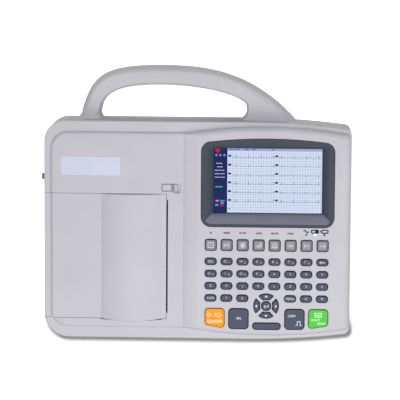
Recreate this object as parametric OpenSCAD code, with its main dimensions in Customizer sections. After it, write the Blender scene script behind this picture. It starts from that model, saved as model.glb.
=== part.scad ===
// Portable six-channel ECG machine: a flat clamshell case with a moulded carry handle,
// a thermal printer under a hinged paper door on the left, and a screen and keypad on the right.
// Millimetres. +Z up, +Y towards the handle, origin under the middle of the whole machine.

/* [Case] */
// Width of the case, left to right
case_w = 308; // [306:1:324]
// Depth of the case, front to back, without the handle
case_d = 220; // [218:1:234]
// Height of the rim round the top, above the table
rim_z = 60; // [58:0.5:64]
// Height where the upper and lower shells meet
split_z = 28; // [26:0.5:28]
// Wall thickness of the shells
wall = 2.5; // [2.2:0.1:2.8]
// Radius of the two left corners, seen from above
corner_r = 25; // [20:1:28]
// Radius of the two right corners, seen from above
right_corner_r = 7; // [7:0.5:9]
// Radius of the rounded edge round the rim
edge_r = 1.5; // [1:0.1:2.4]
// Radius of the curve that draws in the back and front edges at the right
end_arc_r = 800; // [700:50:1200]
// Where that curve starts, left of the right wall
end_arc_start = 104; // [90:1:115]

/* [Left deck] */
// Width of the rim left of the deck
deck_side_rim = 6.6; // [5:0.2:9]
// Width of the rim behind and in front of the deck
deck_end_rim = 11; // [10:0.5:12]
// Height of the deck above the rim
deck_rise = 3; // [2:0.5:4]
// Corner radius of the deck
deck_corner_r = 18; // [12:1:20]
// Width of the deck's rounded edge
deck_edge_w = 4; // [2:0.5:5]

/* [Control panel] */
// Centre line of the panel, left of the right wall
panel_inset = 83.8; // [82:0.2:84]
// Distance from that centre line to the crease at the panel's left
panel_reach = 85.5; // [84:0.5:86]
// Height of the panel above the deck
panel_rise = 4; // [3:0.5:5]
// Radius of the panel's arched back and front edges
arch_r = 480; // [440:10:600]
// Distance from the arch's crown to the back and front walls
crown_inset = 4.3; // [4:0.1:5]
// Width of the panel's rounded border
border_w = 6; // [5:0.5:7]
// Width of the slope at the panel's left
slope_w = 16; // [12:1:17]

/* [Screen] */
// Visible width of the display
screen_w = 108; // [104:0.5:109]
// Visible height of the display
screen_d = 64.8; // [60:0.5:65.5]
// Distance from the display's centre to the back wall
screen_back = 58.6; // [58:0.2:60]
// Width of the dark surround
bezel_w = 133.4; // [132:0.2:135]
// Distance from the surround's lower edge to the display's centre
bezel_low = 46.4; // [45.6:0.2:47]
// Distance from the display's centre to the surround's arched upper edge
bezel_high = 42.8; // [42:0.2:43.6]
// Corner radius of the surround
bezel_corner_r = 10; // [7:1:12]
// Depth of the surround
bezel_t = 5; // [4:0.5:5.5]
// Thickness of the clear window
window_t = 1.5; // [1:0.1:2]
// Thickness of the display module
lcd_t = 6; // [4:0.5:8]

/* [Keys] */
// Distance between key columns
col_pitch = 16; // [15.6:0.1:16.4]
// Distance between rows of small keys
row_pitch = 12.4; // [11.8:0.1:12.8]
// Side of the square function keys
square_key = 13.2; // [12:0.2:13.6]
// Width of a small key
small_key_w = 12.6; // [11:0.2:13.4]
// Depth of a small key
small_key_d = 8; // [7:0.2:8.6]
// Height of the keys above the panel
key_stand = 1.2; // [1:0.1:1.8]
// Travel of a key
key_travel = 1; // [0.6:0.1:1.2]
// Gap round each key
key_gap = 0.35; // [0.25:0.05:0.5]

/* [Printer] */
// Width of the paper
paper_w = 110; // [106:1:110]
// Radius of the full paper roll
roll_r = 22; // [18:0.5:22.5]
// Radius of the platen with its rubber
platen_r = 6; // [5.5:0.1:6.2]
// Radius of the platen's steel shaft
shaft_r = 2.5; // [2:0.1:2.8]
// Tooth module of the paper drive
gear_module = 0.8; // [0.75:0.01:0.8]
// Height of the dome over the roll above the deck
dome_rise = 8; // [7.5:0.5:9]
// Width of the gap that the paper comes out of
slot_w = 1.6; // [1.2:0.1:2]
// Thickness of the paper door
door_t = 2.5; // [2:0.1:2.8]

/* [Carry handle] */
// Reach of the handle behind the case
handle_reach = 54; // [50:0.5:60]
// Height of the handle's top face above the table
handle_top = 43; // [40:0.5:46]
// Height of the handle's lower face above the table
handle_low = 12; // [9:0.5:14]
// Width of the bevel along the handle's edges
handle_bevel = 5; // [3:0.5:5.5]

/* [Base and supply] */
// Height of the rubber feet below the case
foot_h = 2.5; // [2:0.5:4]
// Radius of the rubber feet
foot_r = 8; // [6:0.5:9]
// Radius of the equipotential post
post_r = 3; // [2.9:0.05:3.1]
// How far the equipotential post stands out of the wall
post_stand = 3.5; // [3:0.5:4.5]

/* [Hidden] */

// The case in plan: its middle is at the local origin, and in_frame() moves it so that
// the middle of case and handle together is at the model's origin.
half_w = case_w / 2;
half_d = case_d / 2;
module in_frame() { translate([0, -handle_reach / 2, 0]) children(); }

// Clearances
snug = 0.02;      // a screw or bush in its own hole
run = 0.05;       // a shaft that turns
loose = 0.3;      // moving faces that pass each other
seam = 0.4;       // the visible gap round the door

// Levels
base_z = foot_h;
floor_z = base_z + wall;
deck_z = rim_z + deck_rise;
panel_z = deck_z + panel_rise;
key_top_z = panel_z + key_stand;

// Colours
case_colour = [0.78, 0.78, 0.80];
panel_grey = [0.30, 0.33, 0.38];
key_dark = [0.35, 0.37, 0.44];
key_grey = [0.57, 0.57, 0.60];
steel = [0.70, 0.71, 0.73];
black = [0.12, 0.12, 0.13];
board_green = [0.10, 0.38, 0.22];

// ---------------------------------------------------------------- outlines

// Points of an arc about c, from angle a0 to angle a1 in n steps
function arc_pts(c, r, a0, a1, n) =
  [for (i = [0:n]) let (a = a0 + (a1 - a0) * i / n) [c.x + r * cos(a), c.y + r * sin(a)]];

// A rectangle w by d with corner radius r, centred on c
function rounded(c, w, d, r, n = 3) = concat(
  arc_pts([c.x + w / 2 - r, c.y - d / 2 + r], r, -90, 0, n),
  arc_pts([c.x + w / 2 - r, c.y + d / 2 - r], r, 0, 90, n),
  arc_pts([c.x - w / 2 + r, c.y + d / 2 - r], r, 90, 180, n),
  arc_pts([c.x - w / 2 + r, c.y - d / 2 + r], r, 180, 270, n));

// Cubic curve through four control points
function bezier(p0, p1, p2, p3, n, from = 0) =
  [for (i = [from:n]) let (t = i / n, u = 1 - t)
    u * u * u * p0 + 3 * u * u * t * p1 + 3 * u * t * t * p2 + t * t * t * p3];

// How far the back or front edge is drawn in at x
arc_x = half_w - end_arc_start;
function drawn_in(x) = x < arc_x ? 0 : end_arc_r - sqrt(end_arc_r * end_arc_r - (x - arc_x) * (x - arc_x));

// The case from above, moved in by e
edge_steps = 6;
function case_ring(e) = let (
    xr = half_w - right_corner_r,
    yr = half_d - drawn_in(xr) - right_corner_r,
    yl = half_d - corner_r,
    xl = -half_w + corner_r) concat(
  arc_pts([xl, -yl], corner_r - e, 180, 270, 8),
  [for (i = [0:edge_steps - 1]) let (x = arc_x + (xr - arc_x) * i / edge_steps)
    [x, -half_d + drawn_in(x) + e]],
  arc_pts([xr, -yr], right_corner_r - e, -90, 0, 6),
  arc_pts([xr, yr], right_corner_r - e, 0, 90, 6),
  [for (i = [edge_steps - 1:-1:0]) let (x = arc_x + (xr - arc_x) * i / edge_steps)
    [x, half_d - drawn_in(x) - e]],
  arc_pts([xl, yl], corner_r - e, 90, 180, 8));

// The arched edge shared by the panel and the screen surround
panel_x = half_w - panel_inset;
function arch(x, crown) = crown - arch_r + sqrt(arch_r * arch_r - (x - panel_x) * (x - panel_x));

// The panel from above: left edge at xl, other sides moved in by e
arch_steps = 12;
panel_crown = half_d - crown_inset;
panel_corner_r = right_corner_r;
function panel_ring(e, xl) = let (
    xr = half_w - panel_corner_r,
    yr = arch(xr, panel_crown) - panel_corner_r) concat(
  [for (i = [0:arch_steps - 1]) let (x = xl + (xr - xl) * i / arch_steps) [x, e - arch(x, panel_crown)]],
  arc_pts([xr, -yr], panel_corner_r - e, -90, 0, 6),
  arc_pts([xr, yr], panel_corner_r - e, 0, 90, 6),
  [for (i = [arch_steps - 1:-1:0]) let (x = xl + (xr - xl) * i / arch_steps) [x, arch(x, panel_crown) - e]]);

// The left deck from above, moved in by e
crease_x = panel_x - panel_reach;
deck_x = -half_w + deck_side_rim;
deck_y = half_d - deck_end_rim;
function deck_ring(e, xr) = concat(
  arc_pts([deck_x + deck_corner_r, -deck_y + deck_corner_r], deck_corner_r - e, 180, 270, 6),
  [[xr, -deck_y + e], [xr, deck_y - e]],
  arc_pts([deck_x + deck_corner_r, deck_y - deck_corner_r], deck_corner_r - e, 90, 180, 6));

// The screen surround from above, moved in by e
screen_x = panel_x + 0.6;
screen_y = half_d - screen_back;
function bezel_ring(e) = let (
    x1 = screen_x + bezel_w / 2 - bezel_corner_r,
    x0 = screen_x - bezel_w / 2 + bezel_corner_r,
    crown = screen_y + bezel_high) concat(
  arc_pts([x1, screen_y - bezel_low + bezel_corner_r], bezel_corner_r - e, -90, 0, 5),
  arc_pts([x1, arch(x1, crown) - bezel_corner_r], bezel_corner_r - e, 0, 90, 5),
  [for (i = [1:arch_steps - 1]) let (x = x1 + (x0 - x1) * i / arch_steps) [x, arch(x, crown) - e]],
  arc_pts([x0, arch(x0, crown) - bezel_corner_r], bezel_corner_r - e, 90, 180, 5),
  arc_pts([x0, screen_y - bezel_low + bezel_corner_r], bezel_corner_r - e, 180, 270, 5));

// Solid through a stack of [outline, height] levels, all with as many points
module skin(levels) {
  n = len(levels[0][0]);
  k = len(levels);
  polyhedron(
    points = [for (level = levels) for (p = level[0]) [p.x, p.y, level[1]]],
    faces = concat(
      [[for (i = [0:n - 1]) i]],
      [for (j = [0:k - 2]) for (i = [0:n - 1]) [j * n + i, (j + 1) * n + i, (j + 1) * n + (i + 1) % n]],
      [for (j = [0:k - 2]) for (i = [0:n - 1]) [j * n + i, (j + 1) * n + (i + 1) % n, j * n + (i + 1) % n]],
      [[for (i = [n - 1:-1:0]) (k - 1) * n + i]]));
}

module prism(outline, z0, z1) { translate([0, 0, z0]) linear_extrude(z1 - z0) polygon(outline); }

// A box from its low and high corners
module block(lo, hi) { translate(lo) cube(hi - lo); }

// Round bar from p along one axis: "x", "y" or "z"
module bar(p, r, length, along = "z") {
  translate(p) rotate(along == "x" ? [0, 90, 0] : along == "y" ? [-90, 0, 0] : [0, 0, 0])
    cylinder(h = length, r = r, $fn = 48);
}

// ---------------------------------------------------------------- places

// Printer, measured from the panel's crease and the front wall
slot_x = crease_x - 14.6;                    // middle of the paper slot
door_right = slot_x - slot_w / 2;            // right edge of the door
paper_y = -half_d + 83.7;                    // middle of the paper
paper_y0 = paper_y - paper_w / 2;
paper_y1 = paper_y + paper_w / 2;
door_margin = 8.1;                           // from the paper to the door's ends
door_front = paper_y0 - door_margin;
door_back = paper_y1 + door_margin;
hinge_r = 4;
hinge_x = -half_w + hinge_r;
hinge_z = split_z + 6;
hinge_pin_r = 1.5;
hinge_pin_len = 16;
dome_x1 = door_right - 3.8;                  // right foot of the dome
dome_x0 = dome_x1 - 62.6;                    // left foot of the dome
roll_x = (dome_x0 + dome_x1) / 2;
dome_r = (pow((dome_x1 - dome_x0) / 2, 2) + dome_rise * dome_rise) / (2 * dome_rise);
roll_z = deck_z + dome_rise - door_t - 1.5 - roll_r;
core_r = 8.5;
spindle_r = 6;
platen_x = slot_x - 8.6;
platen_z = deck_z - 11;
arm_t = 2;
arm_y0 = paper_y0 - 0.7 - arm_t;             // front arm's outer face
arm_y1 = paper_y1 + 0.7;                     // rear arm's inner face
bush_r = 3.8;
gear_w = 3.2;
gear_y = arm_y0 - 0.6 - gear_w;
head_t = 4;
head_x = platen_x + platen_r + loose;        // face of the print head
head_travel = 0.8;
head_z0 = platen_z - 13;
head_z1 = platen_z + 5.5;
spring_gap = 3;
frame_back_x = head_x + head_t + spring_gap; // wall behind the print head

// Paper drive gears: platen on the door, idler and motor pinion in the frame
platen_teeth = 16;
idler_teeth = 24;
pinion_teeth = 12;
mesh_gap = 0.1;
idler_x = platen_x;
idler_z = platen_z - gear_module * (platen_teeth + idler_teeth) / 2 - mesh_gap;
pinion_reach = gear_module * (idler_teeth + pinion_teeth) / 2 + mesh_gap;
pinion_x = idler_x + pinion_reach * cos(45);
pinion_z = idler_z - pinion_reach * sin(45);
stud_r = 1.5;
motor_r = 12.5;
motor_len = 16;

// Latch behind the door's right corner
latch_x0 = slot_x - 5.9;
latch_x1 = slot_x + 13.7;
latch_y0 = door_back + 2.8;
latch_y1 = latch_y0 + 8;
latch_floor = deck_z - 3.5;
latch_travel = 2.4;

// Keys
key_x0 = panel_x - 3.5 * col_pitch;
square_row_y = -half_d + 96.8;
small_row_y = -half_d + 80.1;
pad_x = panel_x;
pad_y = -half_d + 35.3;
key_flange = 0.9;
key_flange_t = 1.3;
key_low_z = panel_z - wall - 0.2 - key_flange_t;
board_t = 1.6;
keypad_z = key_low_z - key_travel - 0.2 - board_t;

// Electronics
post_y = half_d - 58;
post_z = split_z + 18;
inlet_y = door_back + 29.2;
inlet_z = split_z - 4;
inlet_w = 27;
inlet_h = 19.6;
main_board_z = floor_z + 7;
connector_y = half_d - 70;
connector_z = split_z + 4;
ports_y = half_d - 125;
battery_x = panel_x - 8;
battery_y = -half_d + 48;
battery_w = 76;
battery_d = 58;
battery_h = 19;

// Screws: M3 pan heads
screw_r = 1.5;
head_r = 2.8;
head_h = 2;
screw_len = 10;
boss_r = 5;
case_screw_z = base_z + 16.5;                // where the head bears in the lower shell
boss_top_z = case_screw_z + head_h + 2.5;
case_screws = [
  [-half_w + 19, half_d - 13], [crease_x + 4, half_d - 8.5], [half_w - 14, half_d - 17],
  [-half_w + 19, -half_d + 11.5], [crease_x + 4, -half_d + 8.5], [half_w - 13, -half_d + 17]];
main_screws = [[crease_x + 12, screen_y - 30], [crease_x + 12, screen_y + 32],
  [half_w - 26, screen_y - 30], [half_w - 26, screen_y + 32]];
frame_left = roll_x - roll_r - 6.6;
power_x0 = -half_w + 6;
power_x1 = frame_left - 1;
power_y0 = door_front + 6;
power_d = 96;
power_screws = [for (x = [power_x0 + 6, power_x1 - 5]) for (y = [power_y0 + 6, power_y0 + power_d - 6]) [x, y]];
keypad_boss_r = 2.4;
keypad_screws = [[key_x0 + 0.5 * col_pitch, square_row_y + square_key / 2 + 4.1],
  [key_x0 + 5.5 * col_pitch, square_row_y + square_key / 2 + 4.1],
  [pad_x - 13.2, pad_y - 12.8], [pad_x + 13.2, pad_y - 12.8]];
frame_screws = [[dome_x0 + 5, paper_y0 + 12], [dome_x0 + 5, paper_y1 - 12],
  [frame_back_x + 6, paper_y0 + 12], [frame_back_x + 6, paper_y1 - 40]];
frame_foot_t = 3;
keypad_screw_len = 4;

// ---------------------------------------------------------------- upper shell

// Levels of a rounded border from z0 to z1, as [share across, height] pairs
round_steps = 5;
function border(z0, z1) = [for (i = [0:round_steps]) let (a = 90 * i / round_steps)
  [1 - cos(a), z0 + (z1 - z0) * sin(a)]];

module upper_form() {
  skin(concat([[case_ring(0), split_z]],
    [for (b = border(rim_z - edge_r, rim_z)) [case_ring(edge_r * b[0]), b[1]]]));
  skin(concat([[deck_ring(0, crease_x + 3), rim_z - 1]],
    [for (b = border(rim_z + 0.5, deck_z)) [deck_ring(deck_edge_w * b[0], crease_x + 3), b[1]]]));
  // The panel rises steeply from the rim on three sides and in a long slope from the deck
  panel_foot = rim_z + 0.5;
  skin(concat([[panel_ring(0, crease_x), rim_z - edge_r - 1]],
    [for (b = border(panel_foot, panel_z))
      [panel_ring(border_w * b[0],
        crease_x + slope_w * max(0, asin((b[1] - panel_foot) / (panel_z - panel_foot))
          - asin((deck_z - panel_foot) / (panel_z - panel_foot)))
          / (90 - asin((deck_z - panel_foot) / (panel_z - panel_foot)))), b[1]]]));
}

module upper_hollow() {
  prism(case_ring(wall), split_z - 1, rim_z - wall);
  prism(deck_ring(wall + 1, crease_x - 1), rim_z - wall - 1, deck_z - wall);
  prism(panel_ring(border_w / 2, crease_x + slope_w + 2), rim_z - wall - 1, panel_z - wall);
}

// What passes through or sits in the upper shell
module door_opening() {
  block([-half_w - 1, door_front - seam, hinge_z - hinge_r - loose],
    [slot_x + slot_w / 2 - 1.2, door_back + seam, panel_z]);
  block([slot_x - 5, paper_y - paper_w / 2 - 2.3, rim_z - wall],
    [slot_x + slot_w / 2, paper_y + paper_w / 2 + 2.3, panel_z]);
}

module latch_recess() {
  prism(rounded([(latch_x0 + latch_x1) / 2, (latch_y0 + latch_y1) / 2],
    latch_x1 - latch_x0, latch_y1 - latch_y0, 1.5), latch_floor, panel_z);
  block([door_right - 2.4, latch_y0 + 2, latch_floor - 5],
    [door_right + 7.4 + latch_travel, latch_y1 - 2, panel_z]);
}

module key_holes() {
  z0 = panel_z - wall - 1;
  for (i = [0:7]) prism(square_outline(i, key_gap), z0, key_top_z);
  for (row = [0:3]) for (i = row_columns(row)) prism(small_outline(row, i, key_gap), z0, key_top_z);
  for (a = [0:90:270]) prism(arrow_outline(a, key_gap, key_gap), z0, key_top_z);
  prism(enter_outline(key_gap), z0, key_top_z);
  prism(power_outline(key_gap), z0, key_top_z);
  prism(start_outline(key_gap), z0, key_top_z);
  prism(fn_outline(key_gap), z0, key_top_z);
  prism(copy_outline(key_gap), z0, key_top_z);
  prism(space_outline(key_gap), z0, key_top_z);
}

light_r = 1.1;
light_y = -half_d + 108;
light_pitch = 9;
light_x0 = panel_x + 39.5;
label_w = 59.6;
label_d = 19.1;
label_x = -half_w + 47.1;
label_y = half_d - 45.4;
label_sink = 0.4;
post_well_r = 6.5;
post_well = 6.5;

module top_case() {
  color(case_colour) in_frame() difference() {
    union() {
      difference() {
        upper_form();
        upper_hollow();
      }
      // Pocket round the screen, latch pocket and its spring stop
      prism(bezel_ring(-wall), panel_z - bezel_t - 2, panel_z - wall / 2);
      block([latch_x0 - 1.6, latch_y0 - 1.6, latch_floor - 1.5], [latch_x1 + 1.6, latch_y1 + 1.6, deck_z - 1]);
      block([latch_x1 - 2, latch_y0, latch_floor - 7], [latch_x1, latch_y1, latch_floor]);
      // Screw bosses, keypad bosses and the door's hinge bosses
      for (p = case_screws) bar([p.x, p.y, boss_top_z], boss_r - 1,
        (p.x > panel_x ? panel_z : rim_z) - wall + 1 - boss_top_z);
      for (p = keypad_screws) bar([p.x, p.y, keypad_z + board_t], keypad_boss_r, panel_z - 1 - keypad_z - board_t);
      for (y = [door_front - seam - hinge_pin_len / 2, door_back + seam])
        intersection() {
          bar([hinge_x, y, hinge_z], hinge_r, hinge_pin_len / 2, "y");
          prism(case_ring(0), split_z, rim_z);
        }
      intersection() {
        bar([-half_w, post_y, post_z], post_well_r + wall, post_well + wall, "x");
        prism(case_ring(0), split_z, rim_z);
      }
    }
    prism(bezel_ring(-0.2), panel_z - bezel_t, panel_z + 1);
    prism(bezel_ring(3), panel_z - bezel_t - 3, panel_z + 1);
    door_opening();
    latch_recess();
    key_holes();
    for (i = [0:2]) bar([light_x0 + i * light_pitch, light_y, panel_z - wall - 1], light_r + snug, wall + 2);
    block([label_x - label_w / 2 - 0.1, label_y - label_d / 2 - 0.1, deck_z - label_sink],
      [label_x + label_w / 2 + 0.1, label_y + label_d / 2 + 0.1, deck_z + 1]);
    for (p = case_screws) bar([p.x, p.y, boss_top_z - 1], screw_r + snug, screw_len);
    for (p = keypad_screws) bar([p.x, p.y, keypad_z], screw_r + snug, keypad_screw_len + 0.3);
    bar([hinge_x, door_front - seam - hinge_pin_len / 2, hinge_z], hinge_pin_r + snug,
      door_back - door_front + 2 * seam + hinge_pin_len, "y");
    bar([-half_w - 1, post_y, post_z], post_well_r, post_well + 1, "x");
    bar([-half_w - 1, post_y, post_z], post_r + snug, post_well + wall + 2, "x");
    inlet_hole();
    connector_hole();
    handle_screw_holes(split_z + 9);
  }
}

// ---------------------------------------------------------------- lower shell

battery_gap = 0.4;
vent_w = 2;
speaker_r = 18;
speaker_h = 9;
speaker_x = half_w - 28;
speaker_y = -half_d + 44;
power_board_z = floor_z + 5;

module bottom_case() {
  color(case_colour) in_frame() difference() {
    union() {
      difference() {
        skin([[case_ring(3), base_z], [case_ring(0.9), base_z + 0.9], [case_ring(0), base_z + 3],
          [case_ring(0), split_z]]);
        prism(case_ring(wall), floor_z, split_z + 1);
      }
      for (p = case_screws) bar([p.x, p.y, base_z + wall / 2], boss_r, boss_top_z - base_z - wall / 2);
      for (p = main_screws) bar([p.x, p.y, base_z + wall / 2], 3.5, main_board_z - base_z - wall / 2);
      for (p = power_screws) bar([p.x, p.y, base_z + wall / 2], 3.5, power_board_z - base_z - wall / 2);
      // Low wall round the battery, and the ring that holds the speaker
      difference() {
        block([battery_x - battery_w / 2 - 2.4, battery_y - battery_d / 2 - 2.4, base_z + wall / 2],
          [battery_x + battery_w / 2 + 2.4, battery_y + battery_d / 2 + 2.4, floor_z + 8]);
        block([battery_x - battery_w / 2 - 0.4, battery_y - battery_d / 2 - 0.4, base_z],
          [battery_x + battery_w / 2 + 0.4, battery_y + battery_d / 2 + 0.4, floor_z + 9]);
      }
      difference() {
        bar([speaker_x, speaker_y, base_z + wall / 2], speaker_r + 2, wall / 2 + 5);
        bar([speaker_x, speaker_y, floor_z], speaker_r + snug, 6);
      }
    }
    for (p = case_screws) {
      bar([p.x, p.y, base_z - 1], head_r + 0.4, case_screw_z + head_h - base_z + 1);
      bar([p.x, p.y, base_z], screw_r + 0.2, boss_top_z - base_z + 1);
    }
    for (p = main_screws) bar([p.x, p.y, main_board_z + board_t - screw_len - 0.2], screw_r + snug, screw_len + 1);
    for (p = power_screws) bar([p.x, p.y, power_board_z + board_t - screw_len + 0.6], screw_r + snug, screw_len + 1);
    for (p = frame_screws) bar([p.x, p.y, base_z - 1], screw_r + 0.1, wall + 2);
    for (p = frame_screws) bar([p.x, p.y, base_z - 1], head_r + 0.3, 1 + head_h / 2);
    prism(rounded([battery_x, battery_y], battery_w + 2 * battery_gap - 4, battery_d + 2 * battery_gap - 4, 3),
      base_z - 1, floor_z + 1);
    prism(rounded([battery_x, battery_y], battery_w + 4 + 2 * battery_gap, battery_d + 4 + 2 * battery_gap, 4),
      base_z - 1, base_z + wall / 2);
    for (i = [-3:3]) block([speaker_x - 9, speaker_y + i * 4 - vent_w / 2, base_z - 1],
      [speaker_x + 9, speaker_y + i * 4 + vent_w / 2, floor_z + 1]);
    for (p = foot_places) bar([p.x, p.y, base_z - 1], foot_r + snug, 1 + wall / 2);
    inlet_hole();
    connector_hole();
    handle_screw_holes(split_z - 9);
  }
}

module battery_door() {
  color(case_colour) in_frame() difference() {
    union() {
      prism(rounded([battery_x, battery_y], battery_w + 4, battery_d + 4, 4), base_z, base_z + wall / 2);
      prism(rounded([battery_x, battery_y], battery_w - 4, battery_d - 4, 3), base_z + wall / 2, floor_z);
    }
    // Finger notch
    bar([battery_x + battery_w / 2 - 8, battery_y, base_z - 1], 6, 1.6);
  }
}

foot_places = [[-half_w + 24, half_d - 34], [half_w - 34, half_d - 34],
  [-half_w + 24, -half_d + 32], [half_w - 34, -half_d + 20]];

module rubber_feet() {
  color(black) in_frame() for (p = foot_places) {
    bar([p.x, p.y, base_z], foot_r, wall / 2);
    translate([p.x, p.y, 0]) cylinder(h = foot_h, r1 = foot_r - 1, r2 = foot_r, $fn = 48);
  }
}

// ---------------------------------------------------------------- handle

grip_w = 19.4;
grip_y = half_d + handle_reach;
inner_y = grip_y - grip_w;
bevel_drop = 4;                              // how far the outer bevel falls
inner_bevel = 2.5;
outer_path = concat(
  [[-124.5, half_d - 2], [-120.6, half_d + 2.6]],
  bezier([-118.5, half_d + 5.5], [-109, grip_y - 11.5], [-98.9, grip_y], [-37, grip_y], 12),
  bezier([-37, grip_y], [7.9, grip_y], [54.7, grip_y - 4.5], [101, half_d - 3], 16, 1));
inner_path = concat(
  [[-93, half_d - 2], [-97, half_d + 1.8]],
  bezier([-98.8, half_d + 5.5], [-97, inner_y - 12], [-88.8, inner_y], [-38, inner_y], 12),
  bezier([-38, inner_y], [-5.4, inner_y], [32.7, inner_y - 6.2], [46.3, inner_y - 17], 10, 1),
  bezier([46.3, inner_y - 17], [49.4, inner_y - 20.4], [51, half_d + 4], [40, half_d - 1], 6, 1));

// Unit step across the handle at place i, from its outer edge to its inner one
function across(i) = (inner_path[i] - outer_path[i]) / norm(inner_path[i] - outer_path[i]);

// Section of a half shell across the handle at place i: z0 is the seam, z1 the face
function handle_section(i, z0, z1) = let (o = outer_path[i], n = inner_path[i], d = across(i), s = sign(z1 - z0),
    b = o + d * handle_bevel, c = n - d * inner_bevel) [
  [o.x, o.y, z0], [o.x, o.y, z1 - s * bevel_drop], [b.x, b.y, z1],
  [c.x, c.y, z1], [n.x, n.y, z1 - s * inner_bevel], [n.x, n.y, z0]];

module handle_sweep(z0, z1) {
  rings = [for (i = [0:len(outer_path) - 1]) let (ring = handle_section(i, z0, z1))
    [for (j = [0:5]) ring[z1 > z0 ? j : 5 - j]]];
  m = 6;
  k = len(rings);
  polyhedron(
    points = [for (ring = rings) for (p = ring) p],
    faces = concat(
      [[for (j = [0:m - 1]) j]],
      [for (i = [0:k - 2]) for (j = [0:m - 1]) [i * m + j, (i + 1) * m + (j + 1) % m, i * m + (j + 1) % m]],
      [for (i = [0:k - 2]) for (j = [0:m - 1]) [i * m + j, (i + 1) * m + j, (i + 1) * m + (j + 1) % m]],
      [[for (j = [m - 1:-1:0]) (k - 1) * m + j]]));
}

// Its corners fall half way between those of the sweep, so no two edges lie along each other
module handle_hollow(z0, z1) {
  last = len(outer_path) - 6;
  prism(concat([for (i = [4:last]) (outer_path[i] + outer_path[i + 1]) / 2 + across(i) * wall],
    [for (i = [last:-1:4]) (inner_path[i] + inner_path[i + 1]) / 2 - across(i) * wall]),
    min(z0, z1), max(z0, z1));
}

handle_screw_x = [-108, 72];
function handle_screw_y(x) = half_d - drawn_in(x + head_r) - wall - head_h - snug;
module handle_screw_holes(z) {
  for (x = handle_screw_x) bar([x, handle_screw_y(x) - 1, z], screw_r + snug, screw_len + head_h + 1.2, "y");
}

module handle_half(z_face) {
  side = sign(z_face - split_z);
  z_screw = split_z + side * 9;
  difference() {
    handle_sweep(split_z, z_face);
    handle_hollow(split_z - side, z_face - side * (wall + bevel_drop / 2));
    prism(case_ring(0), 0, panel_z);
    handle_screw_holes(z_screw);
  }
}

module handle_top_half() { color(case_colour) in_frame() handle_half(handle_top); }
module handle_bottom_half() { color(case_colour) in_frame() handle_half(handle_low); }

// ---------------------------------------------------------------- fasteners

// A cross-head screw: the head starts at p and the shank runs on along +Z, turned by dir.
module screw(p, length, dir = [0, 0, 0]) {
  translate(p) rotate(dir) difference() {
    union() {
      cylinder(h = head_h, r = head_r, $fn = 32);
      cylinder(h = head_h + length, r = screw_r, $fn = 32);
    }
    for (a = [0, 90]) rotate(a) translate([-head_r * 0.7, -0.35, -1]) cube([head_r * 1.4, 0.7, 2.1]);
  }
}

down = [180, 0, 0];
module screws() {
  color(steel) in_frame() {
    for (p = case_screws) screw([p.x, p.y, case_screw_z], screw_len);
    for (p = main_screws) screw([p.x, p.y, main_board_z + board_t + head_h], screw_len, down);
    for (p = power_screws) screw([p.x, p.y, power_board_z + board_t + head_h], screw_len - 1, down);
    for (p = keypad_screws) screw([p.x, p.y, keypad_z - head_h], keypad_screw_len);
    for (p = frame_screws) screw([p.x, p.y, base_z + head_h / 2 - head_h], frame_foot_t + 3);
    for (x = handle_screw_x) for (z = [split_z - 9, split_z + 9])
      screw([x, handle_screw_y(x), z], screw_len, [-90, 0, 0]);
  }
}

// ---------------------------------------------------------------- screen

module label_plate() {
  color([0.80, 0.81, 0.88]) in_frame() prism(rounded([label_x, label_y], label_w, label_d, 0.6),
    deck_z - label_sink, deck_z + 0.1);
}

// Surround: its sides slope down to the display
chin = 11;
flank = 8;
module screen_bezel() {
  color(panel_grey) in_frame() difference() {
    prism(bezel_ring(0), panel_z - bezel_t, panel_z);
    hull() {
      translate([screen_x - screen_w / 2, screen_y - screen_d / 2, panel_z - bezel_t + 0.8])
        cube([screen_w, screen_d, 0.01]);
      translate([screen_x - screen_w / 2 - flank, screen_y - screen_d / 2 - chin, panel_z])
        cube([screen_w + 2 * flank, screen_d + chin + 5, 0.01]);
    }
    block([screen_x - screen_w / 2, screen_y - screen_d / 2, panel_z - bezel_t - 1],
      [screen_x + screen_w / 2, screen_y + screen_d / 2, panel_z]);
  }
}

window_z = panel_z - bezel_t - window_t;
module screen_window() {
  color([0.75, 0.80, 0.85]) in_frame() prism(
    rounded([screen_x, screen_y], screen_w + 6, screen_d + 6, 2), window_z, window_z + window_t);
}

module lcd_module() {
  color([0.55, 0.57, 0.60]) in_frame() {
    block([screen_x - screen_w / 2 - 4, screen_y - screen_d / 2 - 5, window_z - lcd_t],
      [screen_x + screen_w / 2 + 4, screen_y + screen_d / 2 + 3, window_z]);
  }
}

module indicator_lights() {
  color([0.45, 0.65, 0.95]) in_frame() for (i = [0:2])
    bar([light_x0 + i * light_pitch, light_y, keypad_z + board_t], light_r, panel_z - keypad_z - board_t);
}

// ---------------------------------------------------------------- printer

// Profile in X and Z, drawn out from y0 to y1
module along_y(profile, y0, y1) {
  translate([0, y1, 0]) rotate([90, 0, 0]) linear_extrude(y1 - y0) polygon(profile);
}

// Dome between its feet, moved in by e
function dome(e) = let (cz = deck_z + dome_rise - dome_r, r = dome_r - e, zb = deck_z - e,
    a = acos((zb - cz) / r)) [for (i = [0:16]) let (b = a - 2 * a * i / 16) [roll_x - r * sin(b), cz + r * cos(b)]];

skirt_turn = arc_pts([-half_w + edge_r, rim_z - edge_r], edge_r, 180, 90, 4);
door_outer = concat([[-half_w, hinge_z]], skirt_turn,
  [for (b = border(rim_z, deck_z)) [deck_x + deck_edge_w * b[0], b[1]]], dome(0), [[door_right, deck_z]]);
door_inner = concat([[door_right, deck_z - door_t]], [for (i = [16:-1:0]) dome(door_t)[i]],
  [[deck_x + door_t, deck_z - door_t], [deck_x + door_t, rim_z - door_t],
   [-half_w + door_t, rim_z - door_t], [-half_w + door_t, hinge_z]]);

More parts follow.
